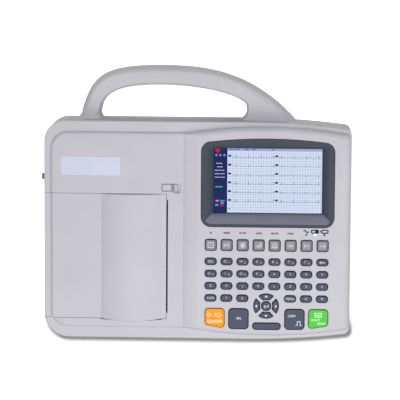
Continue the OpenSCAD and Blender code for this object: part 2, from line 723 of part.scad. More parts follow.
module paper_door() {
  color(case_colour) in_frame() difference() {
    union() {
      intersection() {
        union() {
          along_y(concat(door_outer, door_inner), door_front, door_back);
          // Ends of the dome
          for (y = [door_front, door_back - door_t]) along_y(dome(0), y, y + door_t);
          // Arms that carry the platen, and the lug that the latch holds
          for (y = [arm_y0, arm_y1]) {
            bar([platen_x, y, platen_z], bush_r + 1.6, arm_t, "y");
            block([platen_x - bush_r - 1.6, y, platen_z], [platen_x + bush_r + 1.6, y + arm_t, panel_z]);
          }
          block([door_right - 3.7, door_back - 4, deck_z - 13], [door_right - 2.2, door_back - 1, deck_z - 1]);
          block([door_right - 3.7, door_back - 4, deck_z - 13], [door_right - 0.2, door_back - 1, deck_z - 11]);
        }
        prism(case_ring(0), base_z, panel_z + dome_rise);
        along_y(concat([[-half_w, 0]], door_outer, [[door_right, 0]]), door_front - 1, door_back + 1);
      }
      bar([hinge_x, door_front, hinge_z], hinge_r, door_back - door_front, "y");
    }
    for (y = [door_front - 1, door_back - hinge_pin_len / 2 - 0.5])
      bar([hinge_x, y, hinge_z], hinge_pin_r + run, hinge_pin_len / 2 + 1.5, "y");
    for (y = [arm_y0, arm_y1]) bar([platen_x, y - 1, platen_z], bush_r + snug, arm_t + 2, "y");
  }
}

module door_hinge_pins() {
  color(steel) in_frame() for (y = [door_front - seam - hinge_pin_len / 2, door_back + seam - hinge_pin_len / 2])
    bar([hinge_x, y, hinge_z], hinge_pin_r, hinge_pin_len, "y");
}

finger_x0 = door_right - 1.9;
module door_latch() {
  color(case_colour) in_frame() {
    // Thumb block with a notch and a ramp at its right
    x0 = latch_x0 + 1;
    x1 = latch_x1 - latch_travel - 0.3;
    along_y([[x0, latch_floor + 0.1], [x0, deck_z + 0.2], [x0 + 11.5, deck_z + 0.2], [x0 + 11.5, latch_floor + 1.2],
      [x0 + 13.2, latch_floor + 1.2], [x0 + 13.6, deck_z - 0.4], [x1, latch_floor + 1], [x1, latch_floor + 0.1]],
      latch_y0 + 1, latch_y1 - 1);
    // Stem, and the finger over the door's lug
    block([finger_x0, latch_y0 + 2.3, deck_z - 10.7], [finger_x0 + 6, latch_y1 - 2.3, latch_floor + 1]);
    block([finger_x0, door_back - 4, deck_z - 10.7], [finger_x0 + 6, latch_y1 - 2.3, deck_z - 8.7]);
  }
}

// Coil springs along X as stacked turns
module coil(p, r, wire, length) {
  turns = ceil(length / (1.5 * wire));
  pitch = (length - 2 * wire) / (turns - 1);
  for (i = [0:turns - 1]) translate([p.x + wire + i * pitch, p.y, p.z]) rotate([0, 90, 0])
    rotate_extrude($fn = 24) translate([r - wire, 0]) circle(r = wire, $fn = 13);
}

latch_spring_x = finger_x0 + 6;
module latch_spring() {
  color(steel) in_frame() coil([latch_spring_x, (latch_y0 + latch_y1) / 2, deck_z - 7.6], 1.8, 0.35,
    latch_x1 - 2 - latch_spring_x);
}

plate_z = roll_z + 2;
frame_wall_top = deck_z - 4.6;
motor_y = arm_y0 + arm_t;
trough_r = roll_r + 2;
module printer_frame() {
  color([0.30, 0.31, 0.33]) in_frame() difference() {
    union() {
      // Trough under the roll
      intersection() {
        difference() {
          bar([roll_x, arm_y0 + 1, roll_z], trough_r + 2, arm_y1 + 1 - arm_y0 - 2 + arm_t, "y");
          bar([roll_x, arm_y0 - 1, roll_z], trough_r, arm_y1 - arm_y0 + 6, "y");
        }
        union() {
          block([frame_left, arm_y0, floor_z], [roll_x, arm_y1 + arm_t, plate_z + 2]);
          block([roll_x - 1, arm_y0, floor_z], [slot_x, arm_y1 + arm_t, roll_z - 6]);
        }
      }
      // Shelf at the left, walls, and feet
      block([-half_w + 10, arm_y0, plate_z], [frame_left + 4, arm_y1 + arm_t, plate_z + 2]);
      block([frame_left, arm_y0, floor_z], [frame_left + 2, arm_y1 + arm_t, plate_z + 2]);
      block([frame_left, arm_y0, floor_z], [frame_left + 18, arm_y1 + arm_t, floor_z + frame_foot_t]);
      block([frame_back_x, arm_y0, platen_z - 11.5], [frame_back_x + 2.5, arm_y1 + arm_t, frame_wall_top]);
      block([frame_back_x, motor_y + motor_len + 3, floor_z], [frame_back_x + 2.5, arm_y1 + arm_t, frame_wall_top]);
      block([frame_back_x, arm_y0, floor_z], [frame_back_x + 12, arm_y1 + arm_t, floor_z + frame_foot_t]);
      // End plates with forks for the spindle
      for (y = [arm_y0, arm_y1]) along_y([[frame_left, floor_z], [frame_back_x + 2.5, floor_z],
        [frame_back_x + 2.5, platen_z - bush_r - 3.2], [platen_x - 12, platen_z - bush_r - 3.2],
        [platen_x - 15, plate_z + 2], [frame_left, plate_z + 2]], y, y + arm_t);
      // Stud for the idler
      bar([idler_x, gear_y - 0.4, idler_z], stud_r, arm_y0 - gear_y + 1, "y");
    }
    for (y = [arm_y0 - 1, arm_y1 - 1]) {
      bar([roll_x, y, roll_z], fork_r + 0.3, arm_t + 2, "y");
      block([roll_x - fork_r - 0.3, y, roll_z], [roll_x + fork_r + 0.3, y + arm_t + 2, panel_z]);
    }
    bar([pinion_x, arm_y0 - 1, pinion_z], 4, arm_t + 2, "y");
    for (p = frame_screws) bar([p.x, p.y, floor_z - 1], screw_r + snug, frame_foot_t + 4);
  }
}

fork_r = 3;
module paper_spindle() {
  color([0.85, 0.85, 0.86]) in_frame() {
    bar([roll_x, arm_y0, roll_z], fork_r, arm_y1 + arm_t - arm_y0, "y");
    bar([roll_x, arm_y0 + arm_t + 0.3, roll_z], core_r - 1.5, arm_y1 - arm_y0 - arm_t - 0.6, "y");
  }
}

module paper_roll() {
  color([0.96, 0.95, 0.92]) in_frame() difference() {
    bar([roll_x, paper_y0, roll_z], roll_r, paper_w, "y");
    bar([roll_x, paper_y0 - 1, roll_z], core_r - 1.5, paper_w + 2, "y");
  }
}

module platen_shaft() {
  color(steel) in_frame() bar([platen_x, gear_y, platen_z], shaft_r, arm_y1 + arm_t + 1 - gear_y, "y");
}

module platen_rubber() {
  color(black) in_frame() difference() {
    bar([platen_x, paper_y0, platen_z], platen_r, paper_w, "y");
    bar([platen_x, paper_y0 - 1, platen_z], shaft_r, paper_w + 2, "y");
  }
}

module platen_bushes() {
  color([0.80, 0.66, 0.40]) in_frame() for (y = [arm_y0, arm_y1]) difference() {
    bar([platen_x, y, platen_z], bush_r, arm_t, "y");
    bar([platen_x, y - 1, platen_z], shaft_r + run, arm_t + 2, "y");
  }
}

// Spur gear with straight-sided teeth, axis along Y, one tooth at the angle phase
module gear(p, teeth, phase, bore) {
  pitch_r = gear_module * teeth / 2;
  root_r = pitch_r - gear_module;
  tip_r = pitch_r + 0.8 * gear_module;
  root_half = 0.92 * gear_module;
  tip_half = 0.34 * gear_module;
  translate([p.x, p.y + gear_w, p.z]) rotate([90, 0, 0]) linear_extrude(gear_w) difference() {
    union() {
      circle(r = root_r, $fn = 48);
      for (i = [0:teeth - 1]) rotate(phase + 360 * i / teeth) polygon([[root_r - 0.4, -root_half],
        [tip_r, -tip_half], [tip_r, tip_half], [root_r - 0.4, root_half]]);
    }
    circle(r = bore, $fn = 48);
  }
}

module platen_gear() {
  color([0.92, 0.92, 0.90]) in_frame() gear([platen_x, gear_y, platen_z], platen_teeth, -90, shaft_r);
}

module idler_gear() {
  color([0.92, 0.92, 0.90]) in_frame() gear([idler_x, gear_y, idler_z], idler_teeth, 90 + 180 / idler_teeth,
    stud_r + run);
}

module motor_pinion() {
  color([0.80, 0.66, 0.40]) in_frame() union() {
    gear([pinion_x, gear_y, pinion_z], pinion_teeth, 135, 1);
    bar([pinion_x, gear_y, pinion_z], 1, motor_y - gear_y + 5, "y");
  }
}

module stepper_motor() {
  color([0.55, 0.56, 0.58]) in_frame() difference() {
    union() {
      bar([pinion_x, motor_y, pinion_z], motor_r, motor_len, "y");
      block([frame_back_x - 8, motor_y + 4, floor_z], [frame_back_x - 0.3, motor_y + 12, pinion_z]);
    }
    bar([pinion_x, motor_y - 1, pinion_z], 1 + run, 7, "y");
  }
}

module print_head() {
  color([0.72, 0.73, 0.75]) in_frame() {
    block([head_x + 0.6, paper_y0, head_z0], [head_x + head_t, paper_y1, head_z1]);
    block([head_x, paper_y0 + 1, platen_z - 4], [head_x + 0.6, paper_y1 - 1, platen_z + 4]);
  }
}

module head_springs() {
  color(steel) in_frame() for (y = [paper_y - 36, paper_y, paper_y + 36])
    coil([head_x + head_t, y, platen_z - 4], 3, 0.4, spring_gap);
}

tear_teeth = 28;
module tear_bar() {
  color(steel) in_frame() {
    w = slot_x + slot_w / 2 + 0.2;
    pitch = paper_w / tear_teeth;
    translate([0, 0, frame_wall_top]) linear_extrude(0.8) polygon(concat(
      [[frame_back_x + 2.5, paper_y0], [frame_back_x + 2.5, paper_y1]],
      [for (i = [0:tear_teeth]) [w + 0.8, paper_y1 - i * pitch]]));
    translate([0, 0, frame_wall_top]) linear_extrude(0.8) polygon(concat(
      [[w + 1.2, paper_y0], [w + 1.2, paper_y1]],
      [for (i = [0:2 * tear_teeth]) [w + (i % 2 == 0 ? 0.8 : 0), paper_y1 - i * pitch / 2]]));
  }
}

// ---------------------------------------------------------------- electronics

module main_board() {
  x0 = crease_x + 6;
  x1 = half_w - 20;
  color(board_green) in_frame() difference() {
    union() {
      block([x0, screen_y - 36, main_board_z], [x1, screen_y + 38, main_board_z + board_t]);
      block([x0 + 30, screen_y - 10, main_board_z + board_t], [x0 + 52, screen_y + 12, main_board_z + board_t + 2]);
      block([x0 + 62, screen_y + 14, main_board_z + board_t], [x0 + 76, screen_y + 22, main_board_z + board_t + 3]);
      block([x0 + 20, screen_y - 33, main_board_z + board_t], [x0 + 50, screen_y - 27, main_board_z + board_t + 7]);
      block([x0 + 84, screen_y - 20, main_board_z + board_t], [x0 + 116, screen_y + 6, main_board_z + board_t + 6]);
    }
    for (p = main_screws) bar([p.x, p.y, main_board_z - 1], screw_r + snug, board_t + 2);
  }
}

module keypad_board() {
  color(board_green) in_frame() difference() {
    block([key_x0 - 8, -half_d + 13, keypad_z], [key_x0 + 7 * col_pitch + 7.4, screen_y - bezel_low - wall - 0.4,
      keypad_z + board_t]);
    for (p = keypad_screws) bar([p.x, p.y, keypad_z - 1], screw_r + snug, board_t + 2);
  }
}

module power_board() {
  x0 = power_x0;
  y0 = power_y0;
  z0 = power_board_z;
  w = power_x1 - x0;
  color(board_green) in_frame() difference() {
    union() {
      block([x0, y0, z0], [power_x1, y0 + power_d, z0 + board_t]);
      block([x0 + 0.3 * w, y0 + 34, z0 + board_t], [x0 + 0.8 * w, y0 + 64, z0 + 24]);
      for (y = [y0 + 20, y0 + 76]) bar([x0 + 0.54 * w, y, z0 + board_t], 8, 22);
      block([power_x1 - 4.6, y0 + 20, z0 + board_t], [power_x1 - 1.6, y0 + 76, z0 + 22]);
    }
    for (p = power_screws) bar([p.x, p.y, z0 - 1], screw_r + snug, board_t + 2);
  }
}

module battery_pack() {
  color([0.20, 0.36, 0.62]) in_frame() for (i = [0:2]) let (w = battery_d / 3)
    bar([battery_x - battery_w / 2, battery_y - battery_d / 2 + (i + 0.5) * w, floor_z + battery_h / 2],
      battery_h / 2, battery_w, "x");
}

module speaker() {
  color([0.25, 0.25, 0.26]) in_frame() {
    bar([speaker_x, speaker_y, floor_z], speaker_r, 3);
    translate([speaker_x, speaker_y, floor_z + 3]) cylinder(h = 3, r1 = speaker_r - 3, r2 = 9, $fn = 48);
    bar([speaker_x, speaker_y, floor_z + 6], 9, speaker_h - 6);
  }
}

// Mains inlet of the usual three-pin appliance kind, in the left wall
flange_t = 2;
inlet_depth = 24;
pin_places = [[-7, -2], [0, 2], [7, -2]];
module inlet_hole() {
  block([-half_w - 1, inlet_y - inlet_w / 2 - 0.1, inlet_z - inlet_h / 2 - 0.1],
    [-half_w + wall + 2, inlet_y + inlet_w / 2 + 0.1, inlet_z + inlet_h / 2 + 0.1]);
}
module mains_inlet() {
  color(black) in_frame() {
    difference() {
      union() {
        block([-half_w, inlet_y - inlet_w / 2, inlet_z - inlet_h / 2],
          [-half_w + inlet_depth, inlet_y + inlet_w / 2, inlet_z + inlet_h / 2]);
        block([-half_w + wall, inlet_y - inlet_w / 2 - 3, inlet_z - inlet_h / 2 - 1.4],
          [-half_w + wall + flange_t, inlet_y + inlet_w / 2 + 3, inlet_z + inlet_h / 2 + 1.4]);
      }
      block([-half_w - 1, inlet_y - 12.2, inlet_z - 8.2], [-half_w + 17, inlet_y + 12.2, inlet_z + 8.2]);
    }
    for (p = pin_places) block([-half_w + 2, inlet_y + p.x - 1, inlet_z + p.y - 2],
      [-half_w + 18, inlet_y + p.x + 1, inlet_z + p.y + 2]);
  }
}

module equipotential_post() {
  color(steel) in_frame() {
    bar([-half_w - post_stand, post_y, post_z], post_r, post_stand + post_well + wall + 6, "x");
    bar([-half_w + post_well - 1, post_y, post_z], post_r + 2, 1, "x");
    bar([-half_w + post_well + wall, post_y, post_z], post_r + 2.5, 2.5, "x");
  }
}

// Fifteen-way connector for the patient leads, in the right wall
shell_w = 25;
shell_h = 8.4;
plate_w = 39;
plate_h = 12.6;
jack_screw_y = [-16.7, 16.7];
contact_pitch = 2.77;
socket_face = half_w - 0.2;
module connector_hole() {
  block([half_w - wall - 1, connector_y - shell_w / 2 - 0.2, connector_z - shell_h / 2 - 0.2],
    [half_w + 1, connector_y + shell_w / 2 + 0.2, connector_z + shell_h / 2 + 0.2]);
  for (y = jack_screw_y) bar([half_w - wall - 1, connector_y + y, connector_z], 2.6, wall + 2, "x");
  block([half_w - wall - 1, ports_y - 8, split_z - 9], [half_w + 1, ports_y + 8, split_z + 4.6]);
  block([half_w - wall - 1, ports_y + 13, split_z - 4], [half_w + 1, ports_y + 27.6, split_z + 3.4]);
}
module lead_connector() {
  color([0.66, 0.67, 0.70]) in_frame() {
    block([half_w - wall - 1, connector_y - plate_w / 2, connector_z - plate_h / 2],
      [half_w - wall, connector_y + plate_w / 2, connector_z + plate_h / 2]);
    block([half_w - wall - 9, connector_y - shell_w / 2 + 1, connector_z - shell_h / 2],
      [half_w - wall - 1, connector_y + shell_w / 2 - 1, connector_z + shell_h / 2]);
    difference() {
      block([half_w - wall, connector_y - shell_w / 2, connector_z - shell_h / 2],
        [socket_face, connector_y + shell_w / 2, connector_z + shell_h / 2]);
      for (i = [0:7]) bar([half_w - 2, connector_y + (i - 3.5) * contact_pitch, connector_z + 1.42], 0.6, 3, "x");
      for (i = [0:6]) bar([half_w - 2, connector_y + (i - 3) * contact_pitch, connector_z - 1.42], 0.6, 3, "x");
    }
    for (y = jack_screw_y) bar([half_w - wall, connector_y + y, connector_z], 2.4, wall - 0.2, "x");
  }
}

// Network socket and USB socket in the right wall
module data_ports() {
  color([0.70, 0.71, 0.73]) in_frame() {
    difference() {
      block([half_w - 19, ports_y - 7.9, split_z - 8.9], [socket_face, ports_y + 7.9, split_z + 4.5]);
      block([half_w - 13, ports_y - 5.9, split_z - 6.5], [half_w + 1, ports_y + 5.9, split_z + 1.5]);
    }
    difference() {
      block([half_w - 15, ports_y + 13.1, split_z - 3.9], [socket_face, ports_y + 27.5, split_z + 3.3]);
      block([half_w - 13, ports_y + 14, split_z - 3], [half_w + 1, ports_y + 26.6, split_z + 2.4]);
    }
    block([half_w - 14, ports_y + 14.8, split_z - 1], [half_w - 1.5, ports_y + 25.8, split_z + 0.9]);
    block([half_w - 24, ports_y - 9, split_z - 10.5], [half_w - wall - 0.1, ports_y + 28.5, split_z - 8.9]);
    block([half_w - 15, ports_y + 14, split_z - 8.9], [half_w - wall - 0.1, ports_y + 26.6, split_z - 3.9]);
  }
}

// ---------------------------------------------------------------- keys

function square_outline(i, e) = rounded([key_x0 + i * col_pitch, square_row_y],
  square_key + 2 * e, square_key + 2 * e, 2 + e);
function row_columns(row) = row < 3 ? [0:7] : [0, 1, 2, 5, 6, 7];
function small_outline(row, i, e) = rounded([key_x0 + i * col_pitch, small_row_y - row * row_pitch],
  small_key_w + 2 * e, small_key_d + 2 * e, 2.6 + e);

// Four arrow keys make a ring round the enter key
pad_out_r = 13;
pad_in_r = 6.5;
enter_r = 5.15;
pad_gap = 1;
pad_in_flange = 0.5;
function arrow_outline(a, e, e_in) = let (ro = pad_out_r + e, ri = pad_in_r - e_in,
    ho = 45 - asin((pad_gap - min(e, 0.6)) / ro), hi = 45 - asin((pad_gap - min(e, 0.6)) / ri)) concat(
  arc_pts([pad_x, pad_y], ro, a - ho, a + ho, 8), arc_pts([pad_x, pad_y], ri, a + hi, a - hi, 6));
function enter_outline(e) = [for (i = [0:31]) [pad_x + (enter_r + e) * cos(i * 11.25),
  pad_y + (enter_r + e) * sin(i * 11.25)]];

// Large keys; the outer two follow the panel's arched front edge
big_top = -half_d + 33;
big_low = -half_d + 11.8;
function edge_low(x) = 5.8 - arch(x, panel_crown);
function slanted(x0, x1, low0, low1, r, e) = concat(
  arc_pts([x1 - r, low1 + r], r + e, -90, 0, 3), arc_pts([x1 - r, big_top - r], r + e, 0, 90, 3),
  arc_pts([x0 + r, big_top - r], r + e, 90, 180, 3), arc_pts([x0 + r, low0 + r], r + e, 180, 270, 3));
big_r = 2.2;
function power_outline(e) = slanted(panel_x - 62, panel_x - 41.3, edge_low(panel_x - 62), edge_low(panel_x - 41.3), big_r, e);
function start_outline(e) = slanted(panel_x + 42, panel_x + 62.8, edge_low(panel_x + 42), edge_low(panel_x + 62.8), big_r, e);
function fn_outline(e) = slanted(panel_x - 37.5, panel_x - 17.2, big_low, big_low, big_r, e);
function copy_outline(e) = slanted(panel_x + 18.2, panel_x + 39, big_low, big_low, big_r, e);
space_w = 28.4;
space_d = 7.4;
space_y = -half_d + 14.7;
function space_outline(e) = rounded([panel_x + 0.6, space_y], space_w + 2 * e, space_d + 2 * e, 3 + e);

// A key: its cap through the panel, and the flange that keeps it in
module key(cap, flange) {
  prism(cap, key_low_z + key_flange_t, key_top_z);
  prism(flange, key_low_z, key_low_z + key_flange_t);
}

module function_key(i) { color(key_grey) in_frame() key(square_outline(i, 0), square_outline(i, key_flange)); }
module function_key_1() { function_key(0); }
module function_key_2() { function_key(1); }
module function_key_3() { function_key(2); }
module function_key_4() { function_key(3); }
module function_key_5() { function_key(4); }
module function_key_6() { function_key(5); }
module function_key_7() { function_key(6); }
module function_key_8() { function_key(7); }

module small_keys_row(row) {
  color(key_dark) in_frame() for (i = row_columns(row)) key(small_outline(row, i, 0), small_outline(row, i, key_flange));
}
module small_keys_row_1() { small_keys_row(0); }
module small_keys_row_2() { small_keys_row(1); }
module small_keys_row_3() { small_keys_row(2); }
module small_keys_row_4() { small_keys_row(3); }

module arrow_key(a) { color(key_dark) in_frame() key(arrow_outline(a, 0, 0), arrow_outline(a, key_flange, pad_in_flange)); }
module right_key() { arrow_key(0); }
module up_key() { arrow_key(90); }
module left_key() { arrow_key(180); }
module down_key() { arrow_key(270); }
module enter_key() { color(key_dark) in_frame() key(enter_outline(0), enter_outline(pad_in_flange)); }
module power_key() { color([0.95, 0.62, 0.14]) in_frame() key(power_outline(0), power_outline(key_flange)); }
module fn_key() { color(key_dark) in_frame() key(fn_outline(0), fn_outline(key_flange)); }
module copy_key() { color(key_dark) in_frame() key(copy_outline(0), copy_outline(key_flange)); }
module start_key() { color([0.36, 0.78, 0.30]) in_frame() key(start_outline(0), start_outline(key_flange)); }
module space_key() { color(key_dark) in_frame() key(space_outline(0), space_outline(key_flange)); }

top_case();
bottom_case();
handle_top_half();
handle_bottom_half();
rubber_feet();
screws();
label_plate();
screen_bezel();
screen_window();
lcd_module();
indicator_lights();
paper_door();
door_hinge_pins();
door_latch();
latch_spring();
printer_frame();
platen_shaft();
platen_rubber();
platen_bushes();
platen_gear();
print_head();
head_springs();
stepper_motor();
motor_pinion();
idler_gear();
tear_bar();
paper_roll();
paper_spindle();
main_board();
keypad_board();
power_board();
battery_pack();
battery_door();
speaker();
mains_inlet();
equipotential_post();
lead_connector();
data_ports();
function_key_1();
function_key_2();
function_key_3();
function_key_4();
function_key_5();
function_key_6();
function_key_7();
function_key_8();
small_keys_row_1();
small_keys_row_2();
small_keys_row_3();
small_keys_row_4();
up_key();
down_key();
left_key();
right_key();
enter_key();
power_key();
fn_key();
copy_key();
start_key();
space_key();
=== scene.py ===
"""Looks of a portable ECG machine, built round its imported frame.

Sizes are in millimetres of the case's own frame: the origin is on the table under the middle of
the case, +X to the right, +Y to the handle, +Z up. Shapes become metres of the shared frame in link().
"""

import math

import bmesh
import bpy
from mathutils import Matrix, Vector


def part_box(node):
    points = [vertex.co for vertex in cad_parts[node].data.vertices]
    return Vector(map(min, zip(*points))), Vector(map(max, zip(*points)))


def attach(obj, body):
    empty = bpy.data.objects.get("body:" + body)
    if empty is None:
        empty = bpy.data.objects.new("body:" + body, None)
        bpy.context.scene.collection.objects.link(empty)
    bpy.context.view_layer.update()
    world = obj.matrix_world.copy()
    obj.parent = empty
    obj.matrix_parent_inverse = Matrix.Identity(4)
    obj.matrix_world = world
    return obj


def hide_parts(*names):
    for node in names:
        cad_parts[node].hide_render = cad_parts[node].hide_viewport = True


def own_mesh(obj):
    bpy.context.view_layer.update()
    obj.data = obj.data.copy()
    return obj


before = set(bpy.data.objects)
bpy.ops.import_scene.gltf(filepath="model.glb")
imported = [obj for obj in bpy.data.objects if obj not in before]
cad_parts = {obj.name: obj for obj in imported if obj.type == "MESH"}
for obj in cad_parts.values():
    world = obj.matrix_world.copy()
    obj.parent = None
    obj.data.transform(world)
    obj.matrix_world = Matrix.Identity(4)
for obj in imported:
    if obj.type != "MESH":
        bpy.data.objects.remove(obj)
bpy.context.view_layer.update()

# ---- sizes from the frame

MM = 0.001
low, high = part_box("bottom_case")
CASE_MID = (low + high) / 2
HALF_W = (high.x - low.x) / 2 / MM
HALF_D = (high.y - low.y) / 2 / MM
BASE_Z = low.z / MM
SPLIT_Z = high.z / MM


def box_mm(node):
    """Low and high corners of a CAD node in the case's frame."""
    a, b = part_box(node)
    shift = Vector((CASE_MID.x, CASE_MID.y, 0))
    return (a - shift) / MM, (b - shift) / MM


def middle(node):
    """Middle of a CAD node's box in the case's frame."""
    return [(a + b) / 2 for a, b in zip(*box_mm(node))]


PANEL_Z = box_mm("screen_bezel")[1].z
DECK_Z = PANEL_Z - 4
RIM_Z = DECK_Z - 3
KEY_TOP = box_mm("enter_key")[1].z
WALL = 2.5
EDGE_R = 1.5

# Case outline
CORNER_R = 25
BACK_CORNER_R = 21
RIGHT_CORNER_R = 7
ARC_R = 800
ARC_X = HALF_W - 104

# Deck and panel
DECK_X = -HALF_W + 6.6
DECK_Y = HALF_D - 11
DECK_R = 18
DECK_EDGE = 4
PANEL_X = HALF_W - 83.8
CREASE_X = PANEL_X - 85.5
ARCH_R = 480
CROWN = HALF_D - 4.3
BORDER = 6
SLOPE = 16
SLOPE_START = 1.4

# Screen
screen_low, screen_high = box_mm("screen_window")
SCREEN_X, SCREEN_Y, _ = middle("screen_window")
WINDOW_EDGE = 3
SCREEN_W = screen_high.x - screen_low.x - 2 * WINDOW_EDGE
SCREEN_D = screen_high.y - screen_low.y - 2 * WINDOW_EDGE
WINDOW_Z = screen_high.z
BEZEL_W = 133.4
BEZEL_LOW = 46.4
BEZEL_HIGH = 42.8
BEZEL_R = 10
BEZEL_T = 5

# Printer door and slot
door_low, door_high = box_mm("paper_door")
DOOR_RIGHT = door_high.x
DOOR_FRONT = door_low.y
DOOR_BACK = door_high.y
SEAM = 0.4
SLOT_W = 1.6
SLOT_X = DOOR_RIGHT + SLOT_W / 2
SLOT_HALF = 57.3
PAPER_Y = -HALF_D + 83.7
DOME_RISE = door_high.z - DECK_Z
DOME_X1 = DOOR_RIGHT - 3.8
DOME_X0 = DOME_X1 - 62.6
DOME_X = (DOME_X0 + DOME_X1) / 2
DOME_BULGE = 1.8
HINGE_R = 4
HINGE_Z = SPLIT_Z + 6

# Latch recess
LATCH_X0 = SLOT_X - 5.9
LATCH_X1 = SLOT_X + 13.7
LATCH_Y0 = DOOR_BACK + 2.8
LATCH_Y1 = LATCH_Y0 + 8
LATCH_FLOOR = DECK_Z - 3.5
LATCH_FLARE = 1.7

# Keys
COL = 16
KEY_X0 = PANEL_X - 3.5 * COL
PAD_Y = -HALF_D + 35.3
KEY_GAP = 0.35
KEY_SHRINK = 0.45
KEY_LOW_Z = box_mm("enter_key")[0].z
SMALL_W, SMALL_D, SMALL_R = 12.6, 8, 3.5
LARGE_R = 4.2
LARGE_BACK = -HALF_D + 33
LARGE_FRONT = -HALF_D + 11.1
ARCH_GAP = 6.3
ENTER_R = 5.35

# Indicator lights and the holes in the case
lights_low, lights_high = box_mm("indicator_lights")
LIGHT_Y = middle("indicator_lights")[1]
LIGHT_R = (lights_high.y - lights_low.y) / 2
LIGHT_X = [lights_low.x + LIGHT_R + 9 * i for i in range(3)]
WELL_R = 6.5
SCREW_HOLE_R = 3.2

# ---- colours


def srgb(r, g, b):
    """A linear colour from 0-255 display values."""

    def linear(v):
        v /= 255
        return v / 12.92 if v <= 0.04045 else ((v + 0.055) / 1.055) ** 2.4

    return (linear(r), linear(g), linear(b), 1)


def mixed(colour, factor):
    """The colour, lighter or darker by a factor."""
    return tuple(min(1, c * factor) for c in colour[:3]) + (1,)


def set_inputs(node, **values):
    """Sets a shader node's inputs; an underscore stands for a space in an input's name."""
    for name, value in values.items():
        node.inputs[name.replace("_", " ")].default_value = value


def add_node(nodes, kind, **values):
    node = nodes.new("ShaderNode" + kind)
    set_inputs(node, **values)
    return node


def wire(source, output, target, entry):
    source.id_data.links.new(source.outputs[output], target.inputs[entry])


def new_material(name):
    made = bpy.data.materials.new(name)
    made.use_nodes = True
    return made, made.node_tree.nodes


def surface(name, rgb, roughness=0.5, spread=0.03, grain=1400, bump=0.15, metallic=0.0, glow=0.0):
    """A material whose colour and gloss vary gently, with a fine grain; one that glows is dark itself."""
    colour = srgb(*rgb)
    body = mixed(colour, 0.02) if glow else colour
    made, nodes = new_material(name)
    shader = nodes["Principled BSDF"]
    place = add_node(nodes, "TexCoord")

    cloud = add_node(nodes, "TexNoise", Scale=22, Detail=4)
    wire(place, "Object", cloud, "Vector")
    tint = add_node(nodes, "ValToRGB")
    darker, lighter = tint.color_ramp.elements
    darker.position, lighter.position = 0.3, 0.7
    darker.color = mixed(body, 1 - spread)
    lighter.color = mixed(body, 1 + spread)
    wire(cloud, "Fac", tint, "Fac")
    wire(tint, "Color", shader, "Base Color")

    fine = add_node(nodes, "TexNoise", Scale=grain, Detail=2)
    wire(place, "Object", fine, "Vector")
    sheen = add_node(nodes, "MapRange", To_Min=max(0.02, roughness - 0.07), To_Max=min(1, roughness + 0.07))
    wire(fine, "Fac", sheen, "Value")
    wire(sheen, "Result", shader, "Roughness")
    dents = add_node(nodes, "Bump", Strength=bump, Distance=0.00005)
    wire(fine, "Fac", dents, "Height")
    wire(dents, "Normal", shader, "Normal")

    set_inputs(shader, Metallic=metallic, Specular_IOR_Level=0.02 if glow else 0.2)
    set_inputs(shader, Emission_Color=colour, Emission_Strength=glow)
    return made


def lit(name, rgb, strength=1.0):
    """A glowing part of the display."""
    return surface(name, rgb, roughness=0.4, spread=0.02, bump=0.0, glow=strength)


def ink(name, rgb):
    return surface(name, rgb, roughness=0.6, bump=0.02)


CASE = surface("case_plastic", (199, 198, 204), roughness=0.6)
BEZEL = surface("bezel_plastic", (60, 67, 80), roughness=0.42, bump=0.1)
# Painted light: the bezel's chin is a lighter copy of the bezel plastic, for the light its slope catches.
CHIN_PAINTED_LIGHT = surface("bezel_chin_painted_light", (107, 110, 127), bump=0.1)
KEY_DARK = surface("key_dark", (75, 81, 101))
# Painted shade: the dark keys' sides and lower rounding are darker, for the shade in the gaps round them.
KEY_SIDE_PAINTED_SHADE = surface("key_side_painted_shade", (30, 35, 48), roughness=0.6)
KEY_GREY = surface("key_grey", (152, 152, 156), roughness=0.55)
# Painted shade: the floor of the grey keys' groove is painted darker, for the shade in it.
KEY_GROOVE_PAINTED_SHADE = surface("key_groove_painted_shade", (120, 120, 124), roughness=0.6)
# Painted shade: the grey keys' sides and lower rounding are darker, for the shade in the gaps round them.
KEY_GREY_SIDE_PAINTED_SHADE = surface("key_grey_side_painted_shade", (66, 66, 72), roughness=0.6)
KEY_ORANGE = surface("key_orange", (243, 154, 20), roughness=0.45)
KEY_GREEN = surface("key_green", (84, 200, 70), roughness=0.45)
PALE_INK = ink("pale_ink", (222, 225, 234))
BLACK_INK = ink("black_ink", (12, 12, 16))
# Painted shade: the print head and tear bar are near black, so the paper slot over them shows dark.
SLOT_PAINTED_SHADE = surface("slot_painted_shade", (30, 30, 33), roughness=0.7)
RUBBER = surface("rubber", (40, 40, 42), roughness=0.8, grain=900, bump=0.4)
BLACK = surface("black_plastic", (44, 44, 47))
STEEL = surface("steel", (188, 190, 193), roughness=0.3, metallic=1.0, grain=700)
DARK_STEEL = surface("dark_steel", (120, 120, 124), roughness=0.35, metallic=1.0, grain=700)
BRASS = surface("brass", (205, 175, 110), roughness=0.35, metallic=1.0)
WHITE = surface("white_plastic", (228, 228, 224))
PAPER = surface("paper", (236, 234, 226), roughness=0.85, grain=2200, bump=0.3)
BOARD = surface("circuit_board", (34, 106, 62), roughness=0.35, spread=0.12)
BATTERY = surface("battery_wrap", (44, 86, 150), roughness=0.3)
FILM = surface("label_film", (208, 213, 233), roughness=0.35, bump=0.04)
FRAME_GREY = surface("frame_grey", (72, 74, 78), roughness=0.6)

# ---- outlines


def arc(cx, cy, r, a0, a1, n):
    """Points of an arc from angle a0 to a1, in degrees."""
    turns = [math.radians(a0 + (a1 - a0) * i / n) for i in range(n + 1)]
    return [(cx + r * math.cos(t), cy + r * math.sin(t)) for t in turns]


